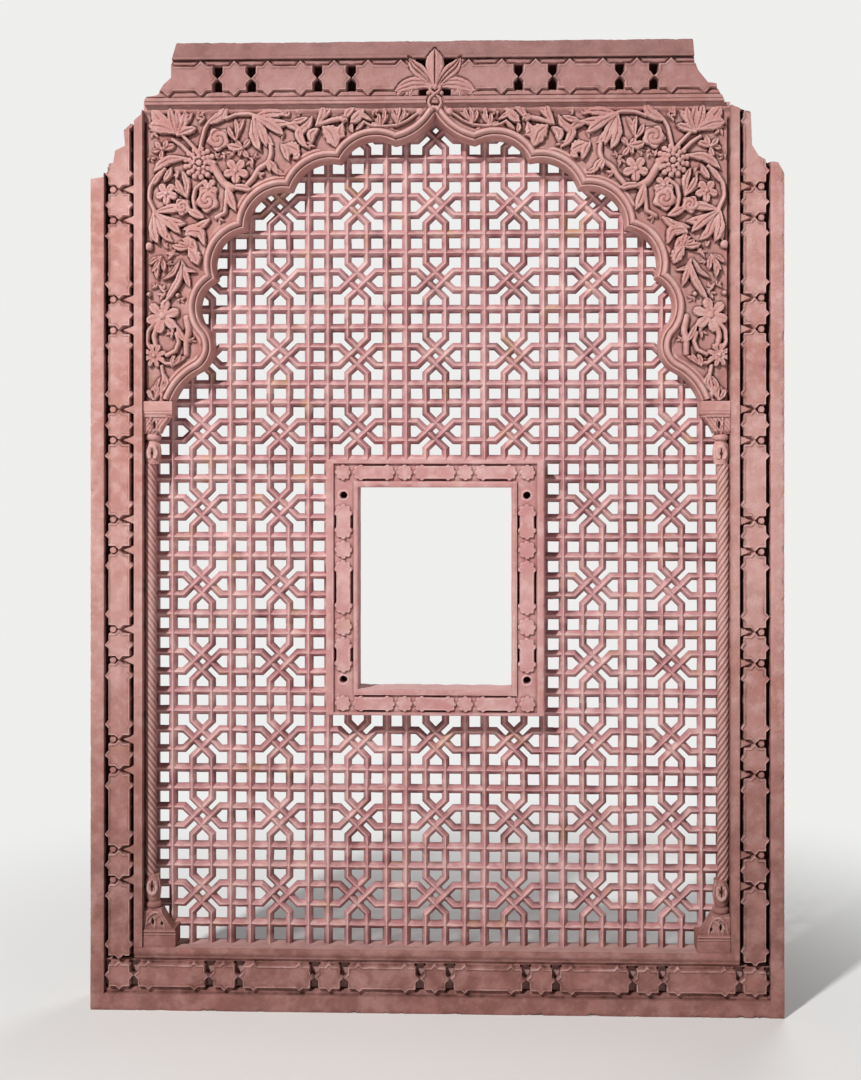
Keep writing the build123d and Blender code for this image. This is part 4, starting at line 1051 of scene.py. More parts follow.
carving = {
    # the grid's edges and spacing, the depths of the slab and of the highest leaf, and the carving's
    # distance from the arch line
    "left": 0.6, "right": 589.4, "low": 1228.4, "high": 1825.2, "cell": 1.6,
    "face": -30.0, "front": -52.5, "cut": 14.5,
    # how much larger than its entry each kind of plant is drawn
    "grow": {"stems": 1.25, "leaves": 1.18, "flowers": 1.08, "roses": 1.05, "buds": 1.1},
    # how often a place for a small trefoil is tried, and the seed of these places
    "tries": 1600, "seed": 5,
    # width and line of the stems
    "stems": [
        (12, [(410, 1659), (426, 1667), (438, 1685), (450, 1707), (462, 1717)]),
        (8.4, [(380, 1664), (366, 1680), (356, 1698), (336, 1710), (330, 1728), (332, 1742)]),
        (6.4, [(477, 1729), (472, 1753), (466, 1777), (458, 1791), (442, 1807)]),
        (6, [(479, 1731), (497, 1751), (515, 1769)]),
        (6.4, [(495, 1727), (513, 1745), (531, 1757)]),
        (6.8, [(567, 1611), (579, 1637), (577, 1661), (565, 1681), (547, 1697)]),
        (7.2, [(442, 1599), (424, 1609), (422, 1633), (420, 1657)]),
        (6.8, [(470, 1669), (485, 1657), (489, 1637), (485, 1615), (470, 1601)]),
        (6, [(350, 1800), (374, 1808), (402, 1807), (422, 1799)]),
        (6.8, [(567, 1387), (581, 1369), (583, 1347), (577, 1336)]),
        (8.8, [(563, 1379), (569, 1359), (565, 1340)]),
        (10.4, [(503, 1396), (498, 1370), (503, 1350), (503, 1324)]),
        (7.2, [(523, 1364), (518, 1348), (525, 1330), (543, 1321)]),
        (6, [(553, 1298), (549, 1276), (554, 1256), (553, 1238)]),
        (5.6, [(529, 1304), (545, 1304), (557, 1312)]),
        (4.4, [(36, 1806), (56, 1792), (76, 1783)]),
        (4.4, [(78, 1783), (102, 1781), (130, 1783), (144, 1791)]),
        (8, [(189, 1798), (210, 1794), (232, 1786)]),
        (5.2, [(238, 1784), (233, 1803), (228, 1817)]),
    ],
    # width and middle line of single leaves, root first
    "leaves": [
        (18, [(420, 1825), (430, 1805), (460, 1787)]),
        (16.8, [(505, 1719), (537, 1717), (555, 1707), (571, 1690)]),
        (12, [(533, 1699), (539, 1685), (549, 1671)]),
        (11, [(547, 1697), (561, 1683), (569, 1665)]),
        (16.8, [(420, 1659), (414, 1637), (402, 1610)]),
        (12, [(370, 1654), (390, 1660), (414, 1661)]),
        (16, [(456, 1595), (479, 1579), (513, 1575)]),
        (14, [(501, 1615), (485, 1607), (466, 1597)]),
        (19, [(466, 1545), (474, 1569), (493, 1571), (507, 1563)]),
        (16, [(481, 1533), (493, 1549), (513, 1557)]),
        (12, [(318, 1686), (326, 1702), (336, 1714)]),
        (10, [(334, 1692), (334, 1702), (340, 1710)]),
        (9.2, [(304, 1684), (316, 1690), (328, 1700)]),
        (14, [(296, 1714), (302, 1734), (312, 1748)]),
        (22, [(479, 1505), (485, 1521), (499, 1537)]),
        (8, [(513, 1513), (505, 1494), (481, 1489)]),
        (9.2, [(515, 1513), (529, 1487), (551, 1473)]),
        (13.2, [(511, 1503), (518, 1473), (531, 1451), (549, 1423)]),
        (12, [(509, 1501), (503, 1479), (495, 1457)]),
        (9.2, [(547, 1282), (542, 1264), (553, 1244)]),
        (8.8, [(555, 1276), (563, 1260), (557, 1244)]),
        (6.4, [(563, 1264), (577, 1246), (589, 1248)]),
        (10, [(505, 1348), (513, 1360), (525, 1385)]),
        (18, [(144, 1813), (157, 1799), (171, 1787)]),
        (14, [(163, 1819), (175, 1809), (183, 1797)]),
        (8.8, [(167, 1787), (169, 1777), (165, 1767)]),
        (8, [(142, 1791), (151, 1781), (161, 1771)]),
        (30, [(224, 1779), (208, 1767), (197, 1737)]),
        (16, [(248, 1800), (256, 1784), (276, 1768), (268, 1750), (254, 1736)]),
        (16, [(236, 1776), (250, 1766), (248, 1746)]),
        (24, [(302, 1744), (286, 1738), (272, 1730)]),
        (12, [(286, 1718), (278, 1722), (272, 1728)]),
        (9.2, [(128, 1793), (144, 1803), (157, 1807)]),
        (20, [(187, 1785), (193, 1767), (181, 1761)]),
        (14, [(270, 1772), (286, 1784), (302, 1784)]),
        (12, [(256, 1798), (274, 1792), (290, 1790)]),
    ],
    # root, leaf width and tips of the fans of leaves
    "fans": [
        ((366, 1802), 17.6, [(302, 1808), (292, 1790), (304, 1764), (324, 1744), (340, 1740), (352, 1732)]),
        ((402, 1753), 10, [(384, 1799), (405, 1799), (418, 1783)]),
        ((521, 1765), 14.8, [(489, 1811), (505, 1817), (481, 1779), (525, 1820), (536, 1824)]),
        ((527, 1771), 26, [(573, 1818), (581, 1784)]),
        ((501, 1639), 12, [(497, 1681), (513, 1695), (524, 1679), (532, 1661)]),
        ((569, 1609), 16.8, [(499, 1619), (501, 1587), (513, 1565), (529, 1549), (544, 1553), (559, 1545),
                             (575, 1549)]),
        ((388, 1738), 16, [(372, 1756), (396, 1721), (420, 1745), (376, 1720), (402, 1755)]),
        ((551, 1736), 14, [(525, 1745), (543, 1758), (565, 1754), (573, 1732), (557, 1716)]),
        ((553, 1521), 10, [(549, 1489), (562, 1473), (573, 1489), (579, 1503)]),
        ((533, 1298), 8.8, [(503, 1318), (514, 1324), (526, 1322)]),
        ((76, 1785), 8.4, [(50, 1809), (60, 1818), (69, 1820), (79, 1820), (85, 1813)]),
        ((110, 1779), 9.2, [(93, 1806), (102, 1819), (112, 1807), (121, 1797), (128, 1789)]),
        ((238, 1784), 13.2, [(208, 1819), (224, 1823)]),
        ((495, 1537), 12, [(521, 1551), (503, 1563), (533, 1543)]),
    ],
    # middle, radius and petals
    "flowers": [((402, 1693), 25, 5), ((543, 1648), 22, 5), ((458, 1659), 19, 5), ((551, 1400), 33, 6),
                ((568, 1320), 23, 8)],
    "rosettes": [((476, 1709), 33)],
    "roses": [((438, 1757), 23.6), ((460, 1633), 24), ((184, 1797), 9.6), ((511, 1621), 18)],
    "buds": [((30, 1810), 7.2), ((579, 1444), 4.4), ((579, 1541), 8), ((520, 1442), 4.4)],
}


def pressPlants(relief):
    # every plant of the dictionary; single leaves lie in three layers
    grow = carving["grow"]
    for width, points in carving["stems"]:
        wide = width * grow["stems"] + 1.0
        relief.leaf(points, [wide, wide, wide * 0.9], 8.5, crown=6.5, groove=0.0, rim=0.0)
    for number, (width, points) in enumerate(carving["leaves"]):
        wide = width * grow["leaves"]
        relief.leaf(points, [wide * 0.3, wide * 0.85, wide, wide * 0.8, 0.8], 10.0 + 2.0 * (number % 3),
                    crown=4.5, groove=4.2, rim=1.6, lobes=5 if width > 20 else 0, veins=2.2)
    for root, width, tips in carving["fans"]:
        relief.fan(root, width * grow["leaves"], tips, 9.5)
    for centre, radius, petals in carving["flowers"]:
        relief.flower(centre, radius * grow["flowers"], petals, 10.5)
    for centre, radius in carving["rosettes"]:
        relief.rosette(centre, radius, 11.0)
    for centre, radius in carving["roses"]:
        relief.rose(centre, radius * grow["roses"], 11.5)
    for centre, radius in carving["buds"]:
        relief.dome(centre, radius * grow["buds"], 10.0, 7.0)
    # a small spray that stands on the capital
    relief.fan((567.0, 1229.0), 11.0, [(554.5, 1252.0), (567.0, 1263.0), (580.0, 1251.0)], 11.0)


def fillGround(relief, away):
    # trefoils of small leaves, at random where the ground is still empty and the arch is not near
    chance = np.random.RandomState(carving["seed"])
    left, low, cell = carving["left"], carving["low"], carving["cell"]
    for _ in range(carving["tries"]):
        place = np.array([chance.uniform(24, 574), chance.uniform(1262, 1812)])
        heading, size = chance.uniform(0, 2 * math.pi), chance.uniform(10, 17)
        row, col = int((place[1] - low) / cell), int((place[0] - left) / cell)
        near = relief.cover[max(row - 7, 0):row + 8, max(col - 7, 0):col + 8]
        if near.mean() > 0.24 or away[row, col] < 28:
            continue
        root = place - 0.4 * size * np.array([math.cos(heading), math.sin(heading)])
        for turn, reach in ((0.0, 1.0), (1.15, 0.75), (-1.05, 0.8)):
            ahead = np.array([math.cos(heading + turn), math.sin(heading + turn)])
            bow = np.array([-ahead[1], ahead[0]]) * size * 0.16
            points = [root, root + ahead * size * 0.45 * reach + bow, root + ahead * size * 1.1 * reach]
            widths = [3.0, size * 0.36, size * 0.44, size * 0.3, 0.6]
            relief.leaf(points, widths, 8.0 + 2.0 * abs(turn), crown=4.0, groove=3.6, rim=1.2)


def buildCarving():
    # plants, ground and pads pressed up from one grid, cut along the arch and mirrored
    cell, face = carving["cell"], carving["face"]
    x, z = np.meshgrid(lines((carving["left"], carving["right"], cell)),
                       lines((carving["low"], carving["high"], cell)))
    away = archDistance(x, z, archWhole[::3])
    relief = Relief(x, z)
    pressPlants(relief)
    fillGround(relief, away)
    # smooth pads of stone along the arch, a plain ground, and deep holes only in the narrow gaps
    pad = 9.0 * ease(30.0 - away, 0, 7.0) * ease(roughNoise(x, z, 55.0, 111), -0.35, 0.1)
    crowded = ease(blur(blur(relief.cover, 4), 4), 0.50, 0.74)
    ground = 4.5 - 4.0 * crowded * ease(relief.cover, 0.6, 0.2) + 1.5 * roughNoise(x, z, 40.0, 113)
    ground = ground + 6.0 * ease(z, 1806.0, 1816.0)
    height = np.maximum(relief.height, np.maximum(ground, np.where(relief.cover > 0.5, 0, pad)))
    # a narrow gap beside the stile, and flat stone where the arch moulding covers it
    height = height * (1 - ease(x, 584.0, 586.0) * ease(1800.0 - z, 0, 10))
    height = height * ease(away, 16.0, 20.5) + 1.0
    # the foot stands on the capital
    foot = ease(1252.0 - z, 0, 3.0) * ease(x, 548.0, 551.0) * ease(580.0 - x, 0, 3.0)
    height = np.maximum(height, 7.0 * foot)
    for side, name in sideNames.items():
        uneven = 0.7 * roughNoise(side * x, z, 13.0, 117) + 0.9 * roughNoise(side * x, z, 60.0, 119)
        y = np.clip(face - height - uneven * ease(height, 3, 8), carving["front"], face - 0.3)
        # painted shade in the recesses and darker still on the deep ground, painted highlight and wear on the
        # raised edges
        hollow = np.clip((y - blur(y, 3)) / 7.5, -0.8, 0.62)
        hollow = hollow + 0.34 * ease(y, -40.0, -34.5) + 0.55 * ease(y, -33.5, -30.8)
        cutOut(name + "SpandrelCarving", side * x, z, y, away > carving["cut"], hollow, face + 2)


buildCarving()
print("spandrels carved")


window = {
    "half": 155.0, "low": 648.0, "high": 1054.0, "out": 219.5, "bottom": 594.8, "top": 1109.25,
    "face": -40.0, "back": 30.0, "band": 36.0, "uprightBand": 41.0, "groove": 5.6,
    # middles of the bands of tablets, and of the stars and ends of the cartouches along them
    "bandX": 185.0, "bandZ": (618.0, 1084.0),
    "level": {"stars": (-186, -61, 61, 186), "cartouches": ((-166, -80), (-43, 43), (80, 166)),
              "half": 13.0, "reach": 16.5, "slit": 0.25},
    "upright": {"stars": (773, 928), "cartouches": ((680, 752), (797, 907), (949, 1020)),
                "half": 14.5, "reach": 18.5, "slit": 1.0},
    "pinX": 185.0, "pinZ": (666.0, 1038.0), "pinRadius": 6.8,
}


def petalStar(a, b, radius):
    # a flower-like star with eight round points
    return np.hypot(a, b) - radius * (0.80 + 0.20 * np.abs(np.cos(4 * np.arctan2(b, a))) ** 0.8)


def windowTablets(x, z):
    # distance to the outlines of the tablets, and the slits beside the long sides of the cartouches
    distance, slit = np.full(np.shape(x), 99.0), np.zeros(np.shape(x))
    runs = [(x, z - middle, window["level"]) for middle in window["bandZ"]]
    runs += [(z, x - middle, window["upright"]) for middle in (-window["bandX"], window["bandX"])]
    for along, across, row in runs:
        half, reach = row["half"], row["reach"]
        tips = [tip for start, end in row["cartouches"] for tip in (start + reach, end - reach)]
        for middle in (*row["stars"], *tips):
            distance = np.minimum(distance, petalStar(along - middle, across, reach))
        for start, end in row["cartouches"]:
            centre, length = (start + end) / 2, (end - start) / 2
            distance = np.minimum(distance, boxDistance(along - centre, across, length - reach, half))
            beside = row["slit"] * ease(length - reach * 1.05 - np.abs(along - centre), 0, 4)
            beside = beside * ease(np.abs(across), half - 0.5, half + 1.0)
            slit = np.maximum(slit, beside * ease(half + 5.0 - np.abs(across), 0, 1.5))
    return distance, slit


def windowRelief(x, z, seed):
    # the face of the whole frame; each stone takes its own part of it
    face, bandX, (bandLow, bandHigh) = window["face"], window["bandX"], window["bandZ"]
    distance, slit = windowTablets(x, z)
    distance = distance + 0.5 * roughNoise(x, z, 9.0, seed)
    y = tabletFace(distance, face + 0.9, face + window["groove"], bead=0.9, beadAt=(0.8, 2.4), slope=1.8)
    y = y + 12.0 * slit * ease(distance, -0.3, 1.0)
    # a thin groove that follows the edge of every tablet
    y = y + 0.5 * ease(1.8 - np.abs(distance - 1.4), 0, 1.6)
    # the tablets lie in a sunk band of two upright and two level runs, which end at their corners
    far, wide = 1000, window["uprightBand"] / 2
    uprightRun = np.abs(np.abs(x) - bandX) - wide + far * ((z < 600.5) | (z > 1101.5))
    levelRun = np.minimum(np.abs(z - bandLow), np.abs(z - bandHigh)) - window["band"] / 2
    bandDistance = np.minimum(uprightRun, levelRun + far * (np.abs(x) > bandX + wide))
    inBand = ease(-bandDistance, -0.5, 0.7)
    inBand = inBand * (z > bandLow - 17.6) * (z < bandHigh + 17.6) * (np.abs(x) < bandX + 20.0)
    lip = face + 0.9 * ease(np.abs(bandDistance - 1.5), 1.2, 0.2)
    y = lip + (y - lip) * inBand
    # rounded, worn inner and outer arrises
    inner = np.maximum(np.abs(x) - window["half"], np.maximum(window["low"] - z, z - window["high"]))
    outer = np.minimum(window["out"] - np.abs(x), np.minimum(z - window["bottom"], window["top"] - z))
    y = y + 1.6 * ease(2.2 - inner, 0, 2.2) + 1.6 * ease(2.2 - outer, 0, 2.2)
    y = y + chipped(x, z, np.minimum(inner, outer), seed + 3, 2.5)
    # pin holes with a low worn ring round them
    for pinX in (-window["pinX"], window["pinX"]):
        for pinZ in window["pinZ"]:
            gap = np.hypot(x - pinX, z - pinZ) + 0.5 * roughNoise(x, z, 8.0, seed + 9)
            y = y - 1.0 * ease(3.0 - np.abs(gap - 9.6), 0, 2.0)
            y = np.where(gap < 10, y + 40 * ease(window["pinRadius"] + 0.8 - gap, 0, 1.4), y)
    y = y + 0.6 * wear(x, z, seed + 11)
    # pale rims on the tablets and a darker ground round them
    tint = (0.20 * ease(distance, 0.0, 1.5) - 0.40 * ease(1.5 - np.abs(distance + 1.4), 0, 1.0)) * inBand
    return np.clip(y, face, 20.0), tint


def buildWindowFrame():
    # two jambs of full height, with the sill and the head between them
    half, low, high, top = window["half"], window["low"], window["high"], window["top"]
    for side, name in sideNames.items():
        x, z = np.meshgrid(side * lines((half, window["out"], 1.3)), lines((window["bottom"], top, 1.3)))
        y, tint = windowRelief(x, z, 81)
        # the edge of the opening is worn uneven, except in its corners
        clear = ease(z, low + 1, low + 6) * ease(high - z, 1, 6)
        worn = half + 0.8 * roughNoise(z * 0, z, 30.0, 87) * clear
        shape = Shape()
        x = side * np.maximum(np.abs(x), worn)
        reliefStone(shape, x, z, y, window["back"], hollowScale=8.5, tint=tint)
        makePiece(name + "WindowJamb", shape, frameStone, [f"window_{name}_jamb"])
    for name, start, stop in (("sill", window["bottom"], low), ("head", high, top)):
        x, z = np.meshgrid(lines((-half + 0.05, half - 0.05, 1.3)), lines((start, stop, 1.3)))
        y, tint = windowRelief(x, z, 81)
        if name == "sill":
            z = np.minimum(z, stop - 1.6 + np.minimum(1.6 * roughNoise(x, z * 0, 22.0, 91), 1.6))
        shape = Shape()
        # the sides are painted pale: painted light that brightens the sill's top face, and the head's sides
        # alike
        reliefStone(shape, x, z, y, window["back"], hollowScale=8.5, tint=tint, sides=-0.6)
        makePiece("window" + name.capitalize(), shape, frameStone, ["window_" + name])


buildWindowFrame()
print("window frame built")


column = {
    "shaftX": 578.1, "shaftY": -26.5, "shaftRadius": 11.6, "low": 269.0, "high": 1101.0,
    "strands": 6, "pitch": 86.0, "ropeDepth": 2.3,
    "neckX": 572.9, "neckY": -25.5, "ringRadius": 16.6, "ringInner": 11.0, "collar": 13.6,
    "outer": 588.9, "coreOuter": 575.4, "coreBack": 3.0,
    # heights of the parts of a capital and of a base, upwards
    "capital": {"neckTop": 1149.0, "ring": 1155.5, "bracket": (1162.0, 1201.0), "abacus": (1201.0, 1227.7)},
    "base": {"plinth": (127.2, 162.0), "bell": (162.0, 201.0), "ring": 207.5, "neckFoot": 214.5},
}


def buildShaft(side):
    # radius waves with the angle around the shaft and turns with the height, like laid rope
    z, angle = np.meshgrid(lines((column["low"], column["high"], 2.4)),
                           np.linspace(0, 2 * math.pi, 57)[:-1], indexing="ij")
    phase = column["strands"] * angle / 2 - side * math.pi * column["strands"] * z / column["pitch"]
    lobe = np.abs(np.cos(phase)) ** 0.75
    radius = column["shaftRadius"] - column["ropeDepth"] * (1 - lobe)
    radius = radius + 0.3 * roughNoise(angle * 6, z, 20.0, 93)
    x = side * column["shaftX"] + radius * np.cos(angle)
    y = np.minimum(column["shaftY"] + radius * np.sin(angle), screen["wall"])
    shape = Shape()
    # painted shade in the grooves between the strands, painted highlight on the strands
    shape.addTube(np.stack([x, y, z], -1), 0.95 - 1.45 * lobe)
    name = sideNames[side]
    makePiece(name + "RopeShaft", shape, borderStone, [name + "_column_shaft"], sharp=60)


def lathe(shape, side, radii, heights, relief=None):
    # radii turned about the column's axis; relief changes the radius by angle and height
    turn, z = np.meshgrid(np.linspace(0, 2 * math.pi, 41)[:-1], heights)
    change = relief(turn, z) if relief else 0 * z
    radius = radii[:, None] + change
    x = side * column["neckX"] + radius * np.cos(turn)
    y = np.minimum(column["neckY"] + radius * np.sin(turn), screen["wall"])
    # carved-in parts take painted shade and raised parts painted highlight
    shape.addTube(np.stack([x, y, z], -1), np.clip(-change / 2.2, -0.6, 1))


def neckRelief(low, high, flipped):
    # an upright bud with a slot, in a horseshoe leaf; the slot opens away from the ring
    def change(angle, z):
        front = np.angle(np.exp(1j * (angle + math.pi / 2)))     # 0 faces the viewer
        share = (z - low) / (high - low)
        if flipped:
            share = 1 - share
        a, b = front * 15.0, (share - 0.42) * (high - low)
        ring = np.abs(np.hypot(a, b * 0.62) - 9.0)
        horseshoe = 3.2 * ease(3.0 - ring, 0, 1.8) * (b > -12)
        bud = 2.0 * ease(5.2 - np.hypot(a, b * 0.42), 0, 2.0)
        slot = -7.0 * ease(3.4 - np.hypot(a * 1.15, (b + 1) * 0.28), 0, 1.3)
        sideLeaf = 1.2 * ease(2.5 - np.abs(np.abs(a) - 17 - 0.1 * b), 0, 2)
        return horseshoe + bud + slot + sideLeaf
    return change


def reliefBlock(shape, side, inner, heights, front, back, hollowScale=4.0, outer=column["outer"]):
    # a stone from inner(z) to the outer edge, its front given by y(x, z)
    share = np.linspace(0, 1, 44)
    left = side * (inner(heights) if callable(inner) else inner + 0 * heights)
    right = side * (outer + 0 * heights)
    x = left[:, None] + (right - left)[:, None] * share
    z = heights[:, None] + 0 * x
    reliefStone(shape, x, z, front(x, z), back, hollowScale=hollowScale, reach=2)


def core(x, z):
    # the plain stone that fills the gap behind a carved block
    return -14.0 + 0 * x


def addRing(shape, side, middle):
    # a half-round ring where the neck meets the carved block
    angle = np.linspace(-math.pi / 2, math.pi / 2, 9)
    inner = column["ringInner"]
    radii = np.maximum(inner + (column["ringRadius"] - inner) * np.cos(angle) ** 0.8, 2.0)
    lathe(shape, side, radii, middle + 6.5 * np.sin(angle))


def bracketInner(z):
    # the cup widens upwards to the fillet
    share = np.clip((z - column["capital"]["bracket"][0]) / 39.0, 0, 1)
    return np.where(share > 0.86, 532.5, 557.5 - 24.0 * share ** 1.25)


def bracketFront(x, z):
    # a cup-shaped carved leaf with a slot, under a fillet
    a, b = np.abs(x) - 562.0, z - column["capital"]["bracket"][0]
    y = -43.5 - 3.2 * ease(b, 33.0, 34.5)
    cup = np.hypot((a + 4) / 20.0, (b - 30) / 28.0)
    y = y - 3.2 * ease(0.95 - np.abs(cup - 0.86), 0.80, 0.95) * (b < 33)
    veins = np.abs(np.sin((a * 0.75 + b * 0.55) * 0.55))
    y = y + 2.4 * (1 - veins) ** 2 * (b < 32)
    slot = np.hypot((a - 6.0) / 3.2, (b - 17) / 9.5)
    y = y - 2.6 * ease(0.5 - np.abs(slot - 2.15), 0.05, 0.4) * (b < 31)
    y = y + 9.0 * ease(1.1 - slot, 0, 0.5)
    y = y + 5.0 * ease(7.0 - b, 0, 7.0) + 2.0 * ease(-a - 18, 0, 8)
    return np.clip(y + 0.4 * wear(x, z, 95), -49.5, -20.0)


def abacusFront(x, z):
    # a plain face with a line along it and rounded edges
    y = -50.0 + 1.6 * ease(1.6 - np.abs(z - 1206.5), 0, 1.2)
    y = y + 2.0 * ease(3.0 - np.abs(z - 1201.5), 0, 2) + 1.2 * ease(z, 1225.5, 1228)
    return np.clip(y + 0.5 * wear(x, z, 97), -50.0, -40.0)


def buildCapital(side):
    shape, sizes, wall = Shape(), column["capital"], screen["wall"]
    # neck: collar, swelling with its leaf, then the ring
    low, high = column["high"], sizes["neckTop"]
    z = np.linspace(low, high, 30)
    share = (z - low) / (high - low)
    radii = 12.5 + 3.4 * np.sin(np.clip(share * 1.12, 0, 1) * math.pi) ** 0.8 - 2.0 * ease(share, 0.8, 1.0)
    radii = np.where(share < 0.09, column["collar"], radii)
    lathe(shape, side, radii, z, neckRelief(low + 4, high, False))
    addRing(shape, side, sizes["ring"])
    bracket = lines((*sizes["bracket"], 1.2))
    reliefBlock(shape, side, bracketInner, bracket, bracketFront, wall, hollowScale=2.8)
    bottom, top = sizes["abacus"]
    reliefBlock(shape, side, 530.4, lines((bottom, top, 1.5)), abacusFront, wall)
    reliefBlock(shape, side, 531.0, lines((bottom + 0.2, top - 0.2, 3.0)), core, column["coreBack"],
                outer=column["coreOuter"])
    name = sideNames[side]
    makePiece(name + "Capital", shape, carvedStone, [name + "_capital"], sharp=45, merge=0.005)


def bellInner(z):
    # the bell narrows upwards, fast at first
    return 529.0 + 26.0 * np.clip((z - column["base"]["bell"][0]) / 39.0, 0, 1) ** 0.8


def bellFront(x, z):
    # a hood over a leaf, a slot and a small pit
    a, b = np.abs(x) - 564.0, z - column["base"]["bell"][0]
    hood = np.hypot((a - 2) / 21.0, b / 36.0)
    y = -43.5 - 2.4 * ease(0.10 - np.abs(hood - 0.92), 0, 0.08)
    leaf = np.abs(a * 0.55 + (b - 18) * 0.8 - 4)
    y = y - 2.4 * ease(4.0 - leaf, 0, 3.0) * (hood < 0.86)
    slot = np.hypot((a - 7.0) / 3.0, (b - 14.0) / 8.0)
    y = y - 2.2 * ease(0.5 - np.abs(slot - 2.1), 0.05, 0.4) * (b < 31)
    y = y + 10.0 * ease(1.1 - slot, 0, 0.5)
    y = y + 6.0 * ease(1.1 - np.hypot((a + 12.0) / 3.5, (b - 10.0) / 5.0), 0, 0.6)
    y = y + 6.0 * ease(b, 33.0, 39.0)
    return np.clip(y + 0.4 * wear(x, z, 99), -47.0, -18.0)


def plinthInner(z):
    # plain, drawn in at the top
    return 523.4 + 1.6 * ease(z, 157.0, 162.0)


def plinthFront(x, z):
    # a plain face with two lines along it and a rounded upper edge
    y = -50.0 + 2.6 * ease(1.5 - np.abs(z - 155.2), 0, 1.0) + 1.8 * ease(1.2 - np.abs(z - 150.2), 0, 0.9)
    y = y + 2.0 * ease(z, 158.5, 162.0)
    return np.clip(y + 0.5 * wear(x, z, 101), -50.0, -40.0)


def buildColumnBase(side):
    # plinth, bell, ring and neck, upwards
    shape, sizes, wall = Shape(), column["base"], screen["wall"]
    low, high = sizes["neckFoot"], column["low"]
    z = np.linspace(low, high, 30)
    share = (z - low) / (high - low)
    radii = 11.5 + 4.4 * np.sin(np.clip(share * 1.05, 0, 1) * math.pi) ** 0.8
    radii = np.where(share > 0.92, column["collar"], radii)
    lathe(shape, side, radii, z, neckRelief(low + 3.5, high - 4, True))
    addRing(shape, side, sizes["ring"])
    bell = lines((*sizes["bell"], 1.2))
    reliefBlock(shape, side, bellInner, bell, bellFront, wall, hollowScale=2.8)
    bottom, top = sizes["plinth"]
    reliefBlock(shape, side, plinthInner, lines((bottom, top, 1.5)), plinthFront, wall)
    reliefBlock(shape, side, 524.0, lines((bottom + 0.2, top - 0.3, 3.0)), core, column["coreBack"],
                outer=column["coreOuter"])
    name = sideNames[side]
    makePiece(name + "ColumnBase", shape, borderStone, [name + "_column_base"], sharp=45, merge=0.005)


for side in (-1, 1):
    buildShaft(side)
    buildCapital(side)
    buildColumnBase(side)
print("columns built")


def buildFinial():
    # the leaves of drawFinial, cut out round their outline
    ground = finial["ground"]
    x, z = np.meshgrid(lines((-finial["half"], finial["half"], 1.0)), lines((*finial["ends"], 1.0)))
    relief = Relief(x, z)
    drawFinial(relief)
    y = ground - relief.height - 0.5 * roughNoise(x, z, 12.0, 131) * relief.cover
    y = np.clip(y, finial["front"], ground)
    # painted shade in the recesses and on the deep floor, painted highlight and wear on the raised edges
    hollow = np.clip((y - blur(y, 2)) / 6.0, -0.8, 1) + 0.6 * ease(y, -38, -30)
    cutOut("finialPetals", x, z, y, blur(relief.cover, 1) > 0.02, hollow, ground + 2, ["finial"])


buildFinial()
print("finial built")


stage = {
    "floor": (0.80, 0.80, 0.79, 1), "background": (0.86, 0.86, 0.85, 1), "ambient": 0.10,
    "fade": (0.5, 1.9),       # metres from the middle
    # place, size, watts, colour
    "lamps": {
        "key": ((-3.1, -5.3, 6.0), 0.50, 670.0, (1.0, 0.985, 0.975)),
        "fill": ((2.4, -3.2, 1.5), 1.6, 7.0, (0.97, 0.98, 1.0)),
        "rear": ((1.5, 3.0, 2.6), 2.0, 50.0, (1.0, 1.0, 1.0)),
    },
    # place, degrees to the left, millimetres and vertical shift
    "camera": (0.092, -3.055, 1.17), "turn": 1.92, "lens": 50.0, "shift": -0.102,
}


def mixShaders(tree, factor, first, second, output):
    # factor 0 shows the first shader and 1 the second
    mixed = tree.nodes.new("ShaderNodeMixShader")
    for socket, value in zip(mixed.inputs, (factor, first.outputs[0], second.outputs[0])):
        tree.links.new(value, socket)
    tree.links.new(mixed.outputs[0], tree.nodes[output].inputs["Surface"])


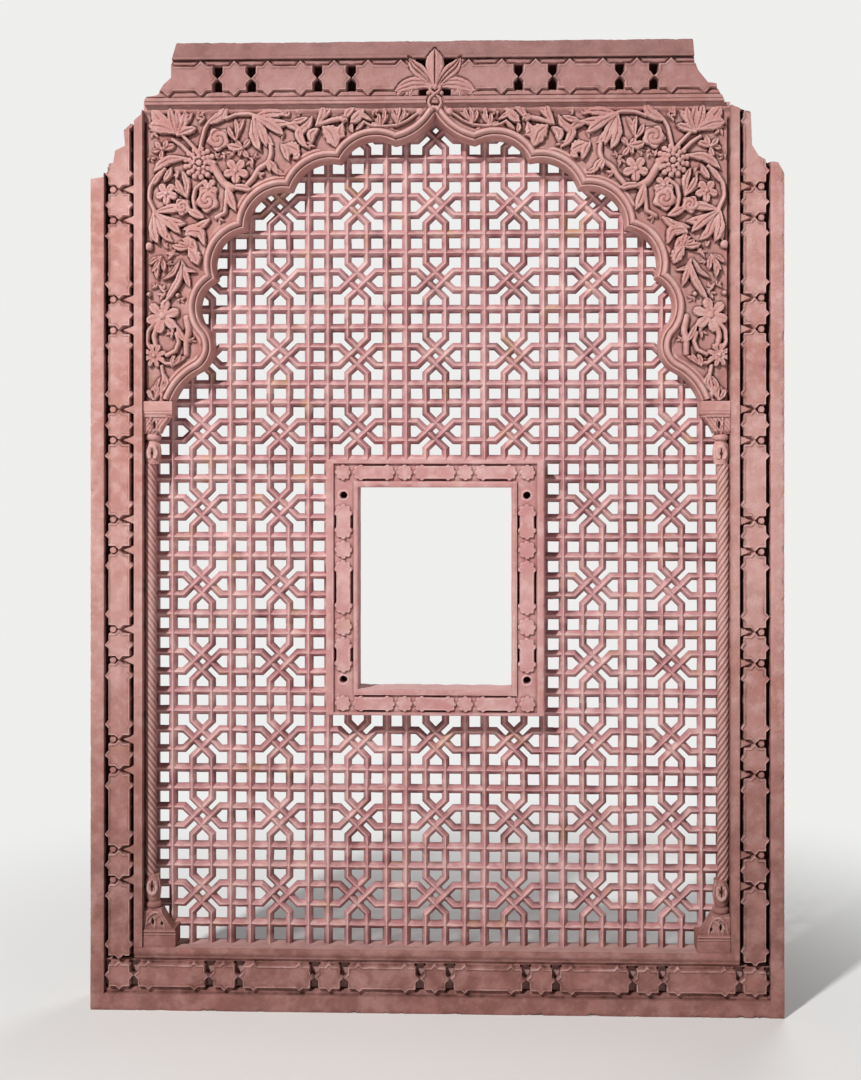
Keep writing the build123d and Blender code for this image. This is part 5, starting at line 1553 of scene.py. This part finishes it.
def buildFloor():
    # further out the floor takes the tone of the background, so that no horizon shows
    mesh = bpy.data.meshes.new("floor")
    mesh.from_pydata([(-20, -20, 0), (20, -20, 0), (20, 20, 0), (-20, 20, 0)], [], [(0, 1, 2, 3)])
    paint, tree, shader = newMaterial("paleFloor")
    shader.inputs["Base Color"].default_value = stage["floor"]
    shader.inputs["Roughness"].default_value = 0.9
    place = tree.nodes.new("ShaderNodeTexCoord")
    far = addNode(tree, "ShaderNodeVectorMath", {"operation": "LENGTH"})
    tree.links.new(place.outputs["Object"], far.inputs[0])
    faded = remap(tree, far.outputs["Value"], *stage["fade"])
    ray = tree.nodes.new("ShaderNodeLightPath")
    glow = addNode(tree, "ShaderNodeEmission", Color=stage["background"], Strength=1.0)
    mixShaders(tree, multiply(tree, faded, ray.outputs["Is Camera Ray"]), shader, glow, "Material Output")
    mesh.materials.append(paint)
    addObject("floor", mesh)


def buildWorld():
    # soft light from all round, and the pale background that the camera sees
    world = bpy.data.worlds.new("studio")
    bpy.context.scene.world = world
    world.use_nodes = True
    tree = world.node_tree
    soft = tree.nodes["Background"]
    soft.inputs["Color"].default_value = (1.0, 1.0, 1.0, 1)
    soft.inputs["Strength"].default_value = stage["ambient"]
    seen = addNode(tree, "ShaderNodeBackground", Color=stage["background"], Strength=1.0)
    ray = tree.nodes.new("ShaderNodeLightPath")
    mixShaders(tree, ray.outputs["Is Camera Ray"], soft, seen, "World Output")


def addLamp(name):
    # a round lamp turned towards the middle of the screen
    place, size, watts, colour = stage["lamps"][name]
    data = bpy.data.lights.new(name, "AREA")
    data.shape, data.size, data.energy, data.color = "DISK", size, watts, colour
    lamp = addObject(name, data)
    lamp.location = place
    aim = np.array([0.0, 0.0, 1.0]) - np.array(place)
    yaw = math.atan2(aim[1], aim[0]) - math.pi / 2
    pitch = math.atan2(aim[2], math.hypot(aim[0], aim[1])) + math.pi / 2
    lamp.rotation_euler = (pitch, 0, yaw)


def addCamera():
    # level, so that uprights stay upright; the shift centres the picture
    data = bpy.data.cameras.new("camera")
    data.lens, data.shift_y = stage["lens"], stage["shift"]
    data.sensor_fit, data.sensor_height = "VERTICAL", 36.0
    camera = addObject("camera", data)
    camera.location = stage["camera"]
    camera.rotation_euler = (math.radians(90), 0, math.radians(stage["turn"]))
    bpy.context.scene.camera = camera


buildFloor()
buildWorld()
for name in stage["lamps"]:
    addLamp(name)
addCamera()
bpy.context.scene.view_settings.view_transform = "Standard"
print("floor, lamps and camera ready")
